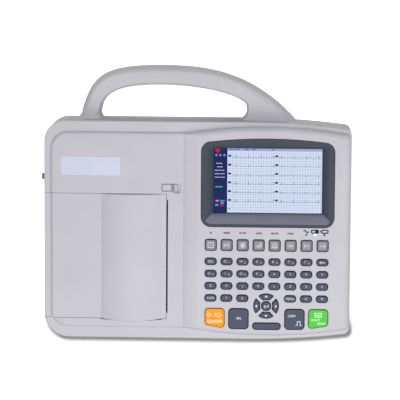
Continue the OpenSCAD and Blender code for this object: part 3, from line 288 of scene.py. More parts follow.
def rounded(cx, cy, w, d, r, n=6):
    """A rectangle with rounded corners."""
    corners = ((1, -1, -90), (1, 1, 0), (-1, 1, 90), (-1, -1, 180))
    points = []
    for sx, sy, a in corners:
        points += arc(cx + sx * (w / 2 - r), cy + sy * (d / 2 - r), r, a, a + 90, n)
    return points


def between(x0, y0, x1, y1, r, n=6):
    """A rectangle with rounded corners, from corner to corner."""
    return rounded((x0 + x1) / 2, (y0 + y1) / 2, x1 - x0, y1 - y0, r, n)


def bezier(p0, p1, p2, p3, n, start=0):
    """Points start to n of a cubic curve in n steps."""
    points = []
    for i in range(start, n + 1):
        t = i / n
        u = 1 - t
        weights = (u * u * u, 3 * u * u * t, 3 * u * t * t, t * t * t)
        points.append(tuple(sum(w * p[k] for w, p in zip(weights, (p0, p1, p2, p3))) for k in (0, 1)))
    return points


def drawn_in(x):
    """How far the back or front edge is drawn in at x."""
    return 0 if x < ARC_X else ARC_R - math.sqrt(ARC_R**2 - (x - ARC_X) ** 2)


def case_ring(e):
    """The case from above, moved in by e."""
    xr = HALF_W - RIGHT_CORNER_R
    yr = HALF_D - drawn_in(xr) - RIGHT_CORNER_R
    yl = HALF_D - CORNER_R
    xl = -HALF_W + CORNER_R
    yb = HALF_D - BACK_CORNER_R
    xb = -HALF_W + BACK_CORNER_R
    xs = [ARC_X + (xr - ARC_X) * i / 14 for i in range(14)]
    return (
        arc(xl, -yl, CORNER_R - e, 180, 270, 16)
        + [(x, -HALF_D + drawn_in(x) + e) for x in xs]
        + arc(xr, -yr, RIGHT_CORNER_R - e, -90, 0, 12)
        + arc(xr, yr, RIGHT_CORNER_R - e, 0, 90, 12)
        + [(x, HALF_D - drawn_in(x) - e) for x in reversed(xs)]
        + arc(xb, yb, BACK_CORNER_R - e, 90, 180, 16)
    )


def arch(x, crown):
    """The panel's arched end at x, for an arch as high as crown in the panel's middle."""
    return crown - ARCH_R + math.sqrt(ARCH_R**2 - (x - PANEL_X) ** 2)


def panel_ring(e, xl):
    """The panel from above: left edge at xl, other sides moved in by e."""
    r = RIGHT_CORNER_R
    xr = HALF_W - r
    yr = arch(xr, CROWN) - r
    xs = [xl + (xr - xl) * i / 36 for i in range(36)]
    return (
        [(x, e - arch(x, CROWN)) for x in xs]
        + arc(xr, -yr, r - e, -90, 0, 12)
        + arc(xr, yr, r - e, 0, 90, 12)
        + [(x, arch(x, CROWN) - e) for x in reversed(xs)]
    )


def deck_ring(e, xr):
    """The left deck from above, moved in by e."""
    r = DECK_R
    return (
        arc(DECK_X + r, -DECK_Y + r, r - e, 180, 270, 14)
        + [(xr, -DECK_Y + e), (xr, DECK_Y - e)]
        + arc(DECK_X + r, DECK_Y - r, r - e, 90, 180, 14)
    )


def bezel_ring(e):
    """The screen surround from above, moved in by e."""
    r = BEZEL_R
    x1 = SCREEN_X + BEZEL_W / 2 - r
    x0 = SCREEN_X - BEZEL_W / 2 + r
    crown = SCREEN_Y + BEZEL_HIGH
    y0 = SCREEN_Y - BEZEL_LOW + r
    xs = [x1 + (x0 - x1) * i / 32 for i in range(1, 32)]
    return (
        arc(x1, y0, r - e, -90, 0, 10)
        + arc(x1, arch(x1, crown) - r, r - e, 0, 90, 10)
        + [(x, arch(x, crown) - e) for x in xs]
        + arc(x0, arch(x0, crown) - r, r - e, 90, 180, 10)
        + arc(x0, y0, r - e, 180, 270, 10)
    )


def bulge_ring(e):
    """The strip by which the dome's front end curves out over the deck, grown by e."""
    xs = [DOME_X0 + (DOME_X1 - DOME_X0) * i / 24 for i in range(25)]
    half = (DOME_X1 - DOME_X0) / 2
    curve = [(x, DOOR_FRONT - e - DOME_BULGE * (1 - ((x - DOME_X) / half) ** 2)) for x in xs]
    return curve + [(DOME_X1, DOOR_FRONT + 1), (DOME_X0, DOOR_FRONT + 1)]


# ---- meshes


def new_object(name, data):
    """An object in the scene that shows this data."""
    obj = bpy.data.objects.new(name, data)
    bpy.context.scene.collection.objects.link(obj)
    return obj


def link(name, points, faces, material, sharp=32):
    """An object from points in the case's frame, smooth but for edges past the angle sharp."""
    mesh = bpy.data.meshes.new(name)
    placed = [(x * MM + CASE_MID.x, y * MM + CASE_MID.y, z * MM) for x, y, z in points]
    mesh.from_pydata(placed, [], faces)
    obj = new_object(name, mesh)
    tidy_normals(obj, sharp)
    if material:
        mesh.materials.append(material)
    return obj


def tidy_normals(obj, sharp=32):
    """Turns the faces outwards and smooths all but the sharp edges."""
    mesh = obj.data
    work = bmesh.new()
    work.from_mesh(mesh)
    bmesh.ops.recalc_face_normals(work, faces=work.faces)
    work.to_mesh(mesh)
    work.free()
    mesh.polygons.foreach_set("use_smooth", [True] * len(mesh.polygons))
    mesh.set_sharp_from_angle(angle=math.radians(sharp))
    mesh.update()


def weighted(obj):
    """Lets large flat faces keep their own normal beside rounded edges."""
    modifier = obj.modifiers.new("flats", "WEIGHTED_NORMAL")
    modifier.keep_sharp = True
    modifier.weight = 90
    return obj


def skin(n, count, first=0):
    """Faces of a solid whose points are count outlines of n points each, from point first on."""
    last = first + (count - 1) * n
    steps = [(start + i, start + (i + 1) % n) for start in range(first, last, n) for i in range(n)]
    ends = [list(range(first, first + n)), list(reversed(range(last, last + n)))]
    return ends[:1] + [[a, b, b + n, a + n] for a, b in steps] + ends[1:]


# A solid without a name is a tool for combine(), which drops it


def loft(levels, name="tool", material=None):
    """A solid through (outline, height) levels that all have as many points."""
    points = [(x, y, z) for ring, z in levels for x, y in ring]
    return link(name, points, skin(len(levels[0][0]), len(levels)), material)


def prism(ring, z0, z1, name="tool", material=None):
    return loft([(ring, z0), (ring, z1)], name, material)


def block(lo, hi):
    """A box from its low to its high corner."""
    ring = [(lo[0], lo[1]), (hi[0], lo[1]), (hi[0], hi[1]), (lo[0], hi[1])]
    return prism(ring, lo[2], hi[2])


def along_y(profile, y0, y1, name="tool", material=None):
    """A profile in X and Z drawn out from y0 to y1."""
    points = [(x, y, z) for y in (y0, y1) for x, z in profile]
    return link(name, points, skin(len(profile), 2), material)


def bar(p, r, length, axis, n=48):
    """A round bar from p along x, y or z."""
    order = {"x": (2, 0, 1), "y": (1, 2, 0), "z": (0, 1, 2)}[axis]
    ring = arc(0, 0, r, 0, 360 - 360 / n, n - 1)
    points = [[p[i] + (a, b, along)[order[i]] for i in range(3)] for along in (0, length) for a, b in ring]
    return link("tool", points, skin(n, 2), None)


def combine(target, tools, operation, sharp=32):
    """Joins the tools to the target, or cuts them from it, and drops the tools."""
    group = bpy.data.collections.new("tools")
    bpy.context.scene.collection.children.link(group)
    for tool in tools:
        bpy.context.scene.collection.objects.unlink(tool)
        group.objects.link(tool)
    modifier = target.modifiers.new("combine", "BOOLEAN")
    modifier.operation = operation
    modifier.solver = "EXACT"
    modifier.operand_type = "COLLECTION"
    modifier.collection = group
    made = mesh_of(target)
    target.modifiers.clear()
    target.data = made
    for tool in tools:
        bpy.data.objects.remove(tool)
    bpy.data.collections.remove(group)
    tidy_normals(target, sharp)
    return target


def ribbons(name, lines, z, material, width):
    """Flat strokes on a surface: each line is a list of points, closed if its ends meet."""
    points, faces = [], []
    for line in lines:
        closed = line[0] == line[-1]
        path = line[:-1] if closed else line
        n = len(path)
        first = len(points)
        for i, (x, y) in enumerate(path):
            before = path[i - 1] if i or closed else (x, y)
            after = path[(i + 1) % n] if i + 1 < n or closed else (x, y)
            into = Vector((x - before[0], y - before[1]))
            out = Vector((after[0] - x, after[1] - y))
            if into.length:
                into.normalize()
            if out.length:
                out.normalize()
            run = (into + out).normalized()
            half = width / 2 / max(0.45, run.dot(out if out.length else into))
            points += [(x - run.y * half, y + run.x * half, z), (x + run.y * half, y - run.x * half, z)]
        for i in range(n if closed else n - 1):
            a, b = first + 2 * i, first + 2 * ((i + 1) % n)
            faces.append([a, a + 1, b + 1, b])
    return link(name, points, faces, material)


def patches(name, rings, z, material):
    """Flat filled shapes."""
    points, faces = [], []
    for ring in rings:
        faces.append(list(range(len(points), len(points) + len(ring))))
        points += [(x, y, z) for x, y in ring]
    return link(name, points, faces, material)


def mesh_of(obj):
    """A new mesh of the object with its modifiers, or of a text's filled letters."""
    bpy.context.view_layer.update()
    return bpy.data.meshes.new_from_object(obj.evaluated_get(bpy.context.evaluated_depsgraph_get()))


def lettering(name, items, z, material, weight=0.03):
    """Plain letters and numbers, each (text, x, y, height)."""
    points, faces = [], []
    for text, x, y, height in items:
        curve = bpy.data.curves.new("glyph", "FONT")
        curve.body = text
        curve.size = height * 1.38
        curve.align_x = "CENTER"
        curve.align_y = "CENTER"
        curve.offset = weight * height
        glyph = new_object("glyph", curve)
        shape = mesh_of(glyph)
        first = len(points)
        points += [(x + v.co.x, y + v.co.y, z) for v in shape.vertices]
        faces += [[first + i for i in p.vertices] for p in shape.polygons]
        bpy.data.objects.remove(glyph)
        bpy.data.curves.remove(curve)
        bpy.data.meshes.remove(shape)
    return link(name, points, faces, material)


def shown(obj, body, replaced=()):
    """Hangs a finished piece on its body."""
    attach(obj, body)
    if replaced:
        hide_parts(*replaced)
    return obj


# ---- key outlines, grown by e


def box_ring(node, r, flange=0.9):
    """Rounded outline of a key from its CAD flange box."""
    a, b = box_mm(node)
    x0, y0, x1, y1 = a.x + flange, a.y + flange, b.x - flange, b.y - flange
    return lambda e: between(x0 - e, y0 - e, x1 + e, y1 + e, max(0.3, r + e), 8)


def small_ring(row, column):
    """Outline of one small key of a row."""
    y = middle(f"small_keys_row_{row + 1}")[1]
    return lambda e: rounded(KEY_X0 + column * COL, y, SMALL_W + 2 * e, SMALL_D + 2 * e, SMALL_R + e, 8)


def softened(outline, r, steps=4):
    """The outline with each sharp corner turned into a short curve."""
    points = []
    for i, (x, y) in enumerate(outline):
        back, ahead = Vector(outline[i - 1]), Vector(outline[(i + 1) % len(outline)])
        corner = Vector((x, y))
        into, out = corner - back, ahead - corner
        if into.angle(out) < 0.7:
            points.append((x, y))
            continue
        a = corner - into.normalized() * min(r, into.length * 0.9)
        b = corner + out.normalized() * min(r, out.length * 0.9)
        for k in range(steps + 1):
            t = k / steps
            points.append(tuple(a * (1 - t) ** 2 + corner * 2 * t * (1 - t) + b * t * t))
    return points


def arrow_ring(a):
    """A quarter of the ring round the enter key."""

    def ring(e):
        gap, ro, ri = 1.45 - e, 13.05 + e, 6.05 - e
        ho = 45 - math.degrees(math.asin(gap / ro))
        hi = 45 - math.degrees(math.asin(gap / ri))
        outline = arc(PANEL_X, PAD_Y, ro, a - ho, a + ho, 14) + arc(PANEL_X, PAD_Y, ri, a + hi, a - hi, 6)
        return softened(outline, 1.1)

    return ring


def enter_ring(e):
    """Outline of the round enter key."""
    return arc(PANEL_X, PAD_Y, ENTER_R + e, 0, 354, 59)


def edge_low(x):
    """Front edge at x of a key that follows the panel's arched end."""
    return ARCH_GAP - arch(x, CROWN)


def large_ring(left, right, low=None):
    """A large key left to right of the panel's middle; its front edge is at low or follows the arch."""
    x0, x1, top, r = PANEL_X + left, PANEL_X + right, LARGE_BACK, LARGE_R
    low0, low1 = (low, low) if low else (edge_low(x0), edge_low(x1))
    corners = ((x1 - r, low1 + r, -90), (x1 - r, top - r, 0), (x0 + r, top - r, 90), (x0 + r, low0 + r, 180))
    return lambda e: [p for x, y, a in corners for p in arc(x, y, max(0.3, r + e), a, a + 90, 6)]


power_ring = large_ring(-62, -41.3)
start_ring = large_ring(42, 62.8)
fn_ring = large_ring(-38.1, -17.2, LARGE_FRONT)
copy_ring = large_ring(18.2, 39, LARGE_FRONT)
space_ring = box_ring("space_key", 3.4, 0.6)
square_rings = [box_ring(f"function_key_{i + 1}", 2.6, 1.25) for i in range(8)]
ROW_COLUMNS = (range(8), range(8), range(8), (0, 1, 2, 5, 6, 7))
small_rings = [[small_ring(row, column) for column in ROW_COLUMNS[row]] for row in range(4)]
ARROWS = ("right_key", "up_key", "left_key", "down_key")
arrow_rings = {node: arrow_ring(90 * i) for i, node in enumerate(ARROWS)}
all_rings = square_rings + [ring for row in small_rings for ring in row] + list(arrow_rings.values())
all_rings += [enter_ring, power_ring, start_ring, fn_ring, copy_ring, space_ring]

# ---- case


def border(z0, z1, n=9):
    """Levels of a rounded border, as (share across, height)."""
    angles = [math.pi / 2 * i / n for i in range(n + 1)]
    return [(1 - math.cos(a), z0 + (z1 - z0) * math.sin(a)) for a in angles]


def upper_form():
    """The top shell's outside: rim, raised deck and the panel that rises from it."""
    levels = [(case_ring(0.35), SPLIT_Z), (case_ring(0), SPLIT_Z + 0.5)]
    levels += [(case_ring(EDGE_R * s), z) for s, z in border(RIM_Z - EDGE_R, RIM_Z)]
    body = loft(levels, "case_upper", CASE)
    low_z = RIM_Z + 0.5
    levels = [(deck_ring(0, CREASE_X + 3), RIM_Z - 1)]
    levels += [(deck_ring(DECK_EDGE * s, CREASE_X + 3), z) for s, z in border(low_z, DECK_Z)]
    deck = loft(levels)

    def slope(z):
        """The panel's left edge at height z, a hollow curve."""
        rise = max(0, (z - DECK_Z) / (PANEL_Z - DECK_Z))
        return CREASE_X + SLOPE_START + (SLOPE - SLOPE_START) * rise**1.5

    levels = [(panel_ring(0, CREASE_X), RIM_Z - EDGE_R - 1)]
    levels += [(panel_ring(BORDER * s, slope(z)), z) for s, z in border(low_z, PANEL_Z)]
    panel = loft(levels)
    return combine(body, [deck, panel], "UNION")


def case_upper():
    """The top shell: hollow, and open for the door, slot, latch, screen, keys, lights and sockets."""
    body = upper_form()
    key_floor = PANEL_Z - WALL - 1
    x0, x1, y0 = LATCH_X0, LATCH_X1, LATCH_Y0
    front = y0 - LATCH_FLARE
    flare = [(x0 + 8, y0 + 1), (x0 + 10, y0), (x0 + 14, front), (x1 - 1, front), (x1, y0 + 1)]
    tools = [
        prism(case_ring(WALL), SPLIT_Z - 1, RIM_Z - WALL),
        prism(deck_ring(WALL + 1, CREASE_X - 1), RIM_Z - WALL - 1, DECK_Z - WALL),
        prism(panel_ring(BORDER / 2, CREASE_X + SLOPE + 2), RIM_Z - WALL - 1, PANEL_Z - WALL),
        prism(bezel_ring(-0.25), PANEL_Z - BEZEL_T, PANEL_Z + 1),
        block((-HALF_W - 1, DOOR_FRONT - SEAM, HINGE_Z - HINGE_R - 0.3),
            (SLOT_X + SLOT_W / 2 - 1.2, DOOR_BACK + SEAM, PANEL_Z),
        ),
        block((SLOT_X - 5, PAPER_Y - SLOT_HALF, RIM_Z - WALL),
            (SLOT_X + SLOT_W / 2, PAPER_Y + SLOT_HALF, PANEL_Z),
        ),
        prism(between(x0, y0, x1, LATCH_Y1, 1.5), LATCH_FLOOR, PANEL_Z),
        prism(flare, LATCH_FLOOR, PANEL_Z),
        prism(bulge_ring(3 * SEAM), DECK_Z - WALL - 1, PANEL_Z + DOME_RISE),
    ]
    tools += [prism(ring(KEY_GAP - KEY_SHRINK), key_floor, KEY_TOP) for ring in all_rings]
    plate_low, plate_high = box_mm("label_plate")
    tools.append(block(plate_low - Vector((0.1, 0.1, 0)), plate_high + Vector((0.1, 0.1, 1))))
    tools += [bar((x, LIGHT_Y, key_floor), LIGHT_R + 0.02, 6, "z") for x in LIGHT_X]
    _, post_y, post_z = middle("equipotential_post")
    tools.append(bar((-HALF_W - 1, post_y, post_z), WELL_R, 7.5, "x"))
    tools += socket_cuts()
    combine(body, tools, "DIFFERENCE")
    # Floor of the latch pocket and the bottom of the post's well
    pocket_low = (x0 - 1, front - 0.5, LATCH_FLOOR - 1.5)
    pocket = block(pocket_low, (x1 + 1, LATCH_Y1 + 1, LATCH_FLOOR))
    well = bar((-HALF_W + 6.4, post_y, post_z), WELL_R + 2, 2, "x")
    sleeve = bar((-HALF_W + WALL - 0.5, post_y, post_z), WELL_R + 2, 5, "x")
    combine(sleeve, [bar((-HALF_W, post_y, post_z), WELL_R, 9, "x")], "DIFFERENCE")
    combine(body, [pocket, well, sleeve], "UNION")
    shown(weighted(body), "case", ["top_case"])


def socket_cuts():
    """Openings for the sockets in the left and right walls, which cross the shells' seam."""
    inlet_low, inlet_high = box_mm("mains_inlet")
    ports_y = box_mm("data_ports")[0].y
    _, lead_y, lead_z = middle("lead_connector")
    inner, outer = HALF_W - WALL - 1, HALF_W + 1
    inlet_mouth = (-HALF_W + 5, inlet_high.y - 3, inlet_high.z - 1.4)
    return [
        block((-HALF_W - 1, inlet_low.y + 3, inlet_low.z + 1.4), inlet_mouth),
        # Lead connector, network socket and small data socket
        block((inner, lead_y - 12.7, lead_z - 4.4), (outer, lead_y + 12.7, lead_z + 4.4)),
        block((inner, ports_y + 1, SPLIT_Z - 9), (outer, ports_y + 17, SPLIT_Z + 4.6)),
        block((inner, ports_y + 22, SPLIT_Z - 4), (outer, ports_y + 36.6, SPLIT_Z + 3.4)),
    ] + [bar((inner, lead_y + y, lead_z), 2.6, WALL + 2, "x") for y in (-16.7, 16.7)]


def case_lower():
    """The bottom shell: hollow, with a battery bay, a vent for the speaker and screw sleeves."""
    foot = ((3, 0), (1.7, 0.25), (0.7, 1), (0.15, 2.1), (0, 3.2))
    levels = [(case_ring(e), BASE_Z + z) for e, z in foot]
    levels += [(case_ring(0), SPLIT_Z - 0.5), (case_ring(0.35), SPLIT_Z)]
    body = loft(levels, "case_lower", CASE)
    (x0, y0, _), (x1, y1, _) = box_mm("battery_door")
    bay = between(x0 - 0.4, y0 - 0.4, x1 + 0.4, y1 + 0.4, 4)
    opening = between(x0 + 3, y0 + 3, x1 - 3, y1 - 3, 3)
    vent_x, vent_y, _ = middle("speaker")
    through = [opening] + [rounded(vent_x, vent_y + 4 * i, 18, 2, 0.98) for i in range(-3, 4)]
    tools = [
        prism(case_ring(WALL), BASE_Z + WALL, SPLIT_Z + 1),
        prism(bay, BASE_Z - 1, BASE_Z + WALL / 2),
    ]
    tools += [prism(ring, BASE_Z - 1, BASE_Z + WALL + 1) for ring in through]
    tools += [bar((x, y, BASE_Z - 1), SCREW_HOLE_R, 16, "z") for x, y in case_screws()]
    combine(body, tools + socket_cuts(), "DIFFERENCE")
    sleeves = []
    for x, y in case_screws():
        sleeve = bar((x, y, BASE_Z + 1), 5, 20, "z")
        combine(sleeve, [bar((x, y, BASE_Z), SCREW_HOLE_R, 15.5, "z")], "DIFFERENCE")
        sleeves.append(sleeve)
    combine(body, sleeves, "UNION")
    shown(weighted(body), "case", ["bottom_case"])


def case_screws():
    """Where the six case screws stand."""
    left, crease = -HALF_W + 19, CREASE_X + 4
    back = [(left, HALF_D - 13), (crease, HALF_D - 8.5), (HALF_W - 14, HALF_D - 17)]
    return back + [(left, -HALF_D + 11.5), (crease, -HALF_D + 8.5), (HALF_W - 13, -HALF_D + 17)]


# ---- handle


def handle_paths(grip):
    """The handle's outer and inner edges from above, from the left foot to the right one."""
    inner = grip - 19.4
    outer_path = bezier((-124.5, HALF_D - 2), (-123, HALF_D), (-122, HALF_D + 1), (-120.6, HALF_D + 2.6), 4)
    outer_path += [(-119.7, HALF_D + 3.9)]
    outer_path += bezier((-118.5, HALF_D + 5.5), (-109, grip - 11.5), (-98.9, grip), (-37, grip), 36)
    outer_path += bezier((-37, grip), (7.9, grip), (54.7, grip - 4.5), (101, HALF_D - 3), 48, 1)
    inner_path = bezier((-93, HALF_D - 2), (-94.6, HALF_D), (-96, HALF_D + 1), (-97, HALF_D + 1.8), 4)
    inner_path += [(-97.6, HALF_D + 3.4)]
    inner_path += bezier((-98.8, HALF_D + 5.5), (-97, inner - 12), (-88.8, inner), (-38, inner), 36)
    bend = (46.3, inner - 17)
    inner_path += bezier((-38, inner), (-5.4, inner), (32.7, inner - 6.2), bend, 30, 1)
    inner_path += bezier(bend, (49.4, inner - 20.4), (51, HALF_D + 4), (40, HALF_D - 1), 18, 1)
    return outer_path, inner_path


def handle_half(name, outer_path, inner_path, z_face, node):
    """A half shell with a soft outer bevel, a thin ridge inside it and a rounded inner edge."""
    side = 1 if z_face > SPLIT_Z else -1
    outer_bevel, drop, inner_bevel, inner_drop = 6.4, 11, 3.6, 10
    ridge_w, ridge_h = 0.9, 0.6
    plateau = z_face - side * ridge_h
    rings = []
    for o, n in zip(outer_path, inner_path):
        across = Vector((n[0] - o[0], n[1] - o[1])).normalized()
        section = [(0.3, SPLIT_Z), (0, SPLIT_Z + side * 0.5)]
        section += [(outer_bevel * s, z) for s, z in border(z_face - side * drop, z_face)]
        section += [(outer_bevel + 0.3, z_face), (outer_bevel + 0.3 + ridge_w, plateau)]
        ring = [(o[0] + across.x * e, o[1] + across.y * e, z) for e, z in section]
        section = [(inner_bevel * s, z) for s, z in border(plateau - side * inner_drop, plateau)]
        section = section[::-1] + [(0, SPLIT_Z + side * 0.5), (0.3, SPLIT_Z)]
        ring += [(n[0] - across.x * e, n[1] - across.y * e, z) for e, z in section]
        rings.append(ring)
    points = [p for ring in rings for p in ring]
    half = link(name, points, skin(len(rings[0]), len(rings)), CASE)
    combine(half, [prism(case_ring(0.4), 0, PANEL_Z)], "DIFFERENCE")
    shown(weighted(half), "case", [node])


def handle():
    """Two half shells along one curved path."""
    low_half, high_half = box_mm("handle_bottom_half")[0], box_mm("handle_top_half")[1]
    outer_path, inner_path = handle_paths(high_half.y)
    handle_half("handle_upper", outer_path, inner_path, high_half.z, "handle_top_half")
    handle_half("handle_lower", outer_path, inner_path, low_half.z, "handle_bottom_half")


# ---- screen


def bezel():
    """The dark surround, whose recess slopes down to the display, with a chin below it painted lighter as
    painted light.
    """
    outside = ((0, BEZEL_T), (0, 0.5), (0.15, 0.2), (0.5, 0))
    body = loft([(bezel_ring(e), PANEL_Z - down) for e, down in outside], "screen_surround", BEZEL)
    flank, chin, brow = 8, 11, 5
    x0, x1 = SCREEN_X - SCREEN_W / 2, SCREEN_X + SCREEN_W / 2
    y0, y1 = SCREEN_Y - SCREEN_D / 2, SCREEN_Y + SCREEN_D / 2

    def mouth(e, down):
        """The recess from above, e of the way out to its mouth."""
        left, right = x0 - flank * e, x1 + flank * e
        return between(left, y0 - down * e, right, y1 + brow * e, 0.4 + 3.6 * e, 8)

    depth = 4.2
    levels = [(0, 0), (0.05, 1.6), (0.2, 2.7), (0.5, 3.5), (0.8, 4.0), (1, depth), (1.02, depth + 1)]
    recess = loft([(mouth(e, chin), PANEL_Z - depth + z) for e, z in levels])
    through = prism(mouth(0, 0), PANEL_Z - BEZEL_T - 1, PANEL_Z)
    combine(body, [recess, through], "DIFFERENCE", sharp=50)
    # Painted light: the chin's upward faces below the display get the lighter copy of the bezel plastic.
    body.data.materials.append(CHIN_PAINTED_LIGHT)
    for face in body.data.polygons:
        below = (y0 - chin - 0.2) * MM < face.center.y - CASE_MID.y < (y0 - 0.5) * MM
        if below and face.normal.z > 0.5 and face.center.z < (PANEL_Z - 0.05) * MM:
            face.material_index = 1
    shown(weighted(body), "case", ["screen_bezel"])


def window():
    """A thin clear pane that reflects a little."""
    made, nodes = new_material("clear_window")
    nodes.remove(nodes["Principled BSDF"])
    clear = add_node(nodes, "BsdfTransparent", Color=(0.97, 0.98, 0.99, 1))
    gloss = add_node(nodes, "BsdfGlossy")
    smear = add_node(nodes, "TexNoise", Scale=60)
    spread = add_node(nodes, "MapRange", To_Min=0.06, To_Max=0.14)
    wire(smear, "Fac", spread, "Value")
    wire(spread, "Result", gloss, "Roughness")
    both = add_node(nodes, "MixShader", Fac=0.02)
    wire(clear, "BSDF", both, 1)
    wire(gloss, "BSDF", both, 2)
    wire(both, "Shader", nodes["Material Output"], "Surface")
    ring = rounded(SCREEN_X, SCREEN_Y, SCREEN_W + 5.6, SCREEN_D + 5.6, 2)
    pane = prism(ring, WINDOW_Z - 0.4, WINDOW_Z, "window_pane", made)
    shown(pane, "case", ["screen_window"])


# Centre, width and height of each wave in one beat, whose phase runs from 0 to 1
WAVES = (
    (0.18, 0.035, 0.13),
    (0.325, 0.012, -0.16),
    (0.35, 0.013, 1),
    (0.378, 0.013, -0.28),
    (0.6, 0.06, 0.24),
)

SCREEN_COLOURS = {
    "navy": (20, 34, 90),
    "field": (222, 231, 248),
    "header": (160, 176, 220),
    "rule": (172, 186, 216),
    "ink": (96, 104, 128),
    "black": (34, 36, 48),
    "white": (198, 206, 226),
    "blue": (84, 156, 232),
    "red": (226, 14, 16),
    "green": (70, 176, 160),
}


def heartbeat(t):
    """Height of an ECG trace at beat phase t, about 1 at the peak."""
    return sum(h * math.exp(-(((t - at) / wide) ** 2)) for at, wide, h in WAVES)


def display():
    """A generic recorder screen: side bar, header, ruled field and twelve traces."""
    x0, y1 = SCREEN_X - SCREEN_W / 2, SCREEN_Y + SCREEN_D / 2
    z = WINDOW_Z - 1.3
    bar_w, head = 13.3, 2.7
    field_w, field_d = SCREEN_W - bar_w, SCREEN_D - head
    inks = {name: lit("screen_" + name, rgb) for name, rgb in SCREEN_COLOURS.items()}

    def rect(a, b, w, d):
        """A rectangle a right of and b below the display's corner."""
        return [(x0 + a, y1 - b), (x0 + a, y1 - b - d), (x0 + a + w, y1 - b - d), (x0 + a + w, y1 - b)]

    def flat(name, colour, rings, rise=0.04):
        shown(patches("display_" + name, rings, z + rise, inks[colour]), "case")

    def strokes(name, colour, lines, rise, width):
        shown(ribbons("display_" + name, lines, z + rise, inks[colour], width), "case")

    flat("bar", "navy", [rect(0, 0, bar_w, SCREEN_D)], 0)
    flat("field", "field", [rect(bar_w, head, field_w, field_d)], 0)
    flat("header", "header", [rect(bar_w, 0, field_w, head)], 0)
    step, fx, y0 = 2.6, x0 + bar_w, y1 - SCREEN_D
    xs = [fx + i * step for i in range(1, int(field_w / step) + 1)]
    ys = [y0 + i * step for i in range(1, int(field_d / step) + 1)]
    lines = [[(x, y0), (x, y1 - head)] for x in xs] + [[(fx, y), (fx + field_w, y)] for y in ys]
    strokes("ruling", "rule", lines, 0.02, 0.35)

    traces, tags = [], []
    row_step, beats, n = 8.9, 3.4, 320
    for column, start in enumerate((bar_w + 1.2, bar_w + 48.2)):
        for row in range(6):
            base = y1 - 9.2 - row_step * row
            size = (2.6, 1.7, -1.5, 3.0, 2.2, 2.8)[row] * (1, 0.85)[column]
            phases = [i / n * beats + 0.13 * column for i in range(n + 1)]
            xs = [x0 + start + 3 + 42.5 * i / n for i in range(n + 1)]
            traces.append([(x, base + size * heartbeat(t % 1)) for x, t in zip(xs, phases)])
            tags.append(rect(start - 0.4, 6.8 + row_step * row, 3, 1.9))
    strokes("traces", "ink", traces, 0.04, 0.3)
    flat("tags", "black", tags, 0.06)

    lobes = arc(x0 + 2.2, y1 - 1.8, 1.35, 200, 20, 10) + arc(x0 + 4.7, y1 - 1.8, 1.35, 160, -20, 10)
    flat("heart", "red", [lobes + [(x0 + 3.45, y1 - 5)]])
    flat("spots", "blue", [arc(x0 + a, y1 - 7.1, 1.2, 0, 345, 23) for a in (2.2, 6.2, 10.2)])
    # Start and width of each short bar that stands for a word, row by row
    rows = [((2, 3), (5.4, 2.6)), ((3, 2.6), (6, 2.6)), ((0.8, 3.4), (4.8, 2.2), (7.6, 2.6))]
    rows += [((0.8, 4.2), (5.6, 2), (8.2, 2.4))] * 2
    flat("words", "white", [rect(a, 15 + 3.5 * i, w, 0.75) for i, row in enumerate(rows) for a, w in row])
    titles = ((0, 3.4), (4.2, 2.2), (7.2, 3.2), (15, 4.6), (22.6, 4.2), (42, 3))
    flat("titles", "ink", [rect(bar_w + 2 + a, 0.7, w, 1) for a, w in titles])
    flat("state", "green", [rect(1.2, 38.4, 7.6, 1.2), rect(bar_w + 0.6, 60.4, 3, 0.9)])
    flat("flags", "red", [rect(1.2, 52, 4.2, 2.2), rect(6.2, 57, 3.4, 1.4)])
    flat("marks", "blue", [rect(6.4, 52.4, 4.4, 1.4), rect(1.4, 56.4, 3.2, 2)])
    flat("glints", "white", [rect(2.2, 52.7, 2.2, 0.8), rect(6.8, 55, 3.2, 0.8)], 0.06)


# ---- printer door and latch


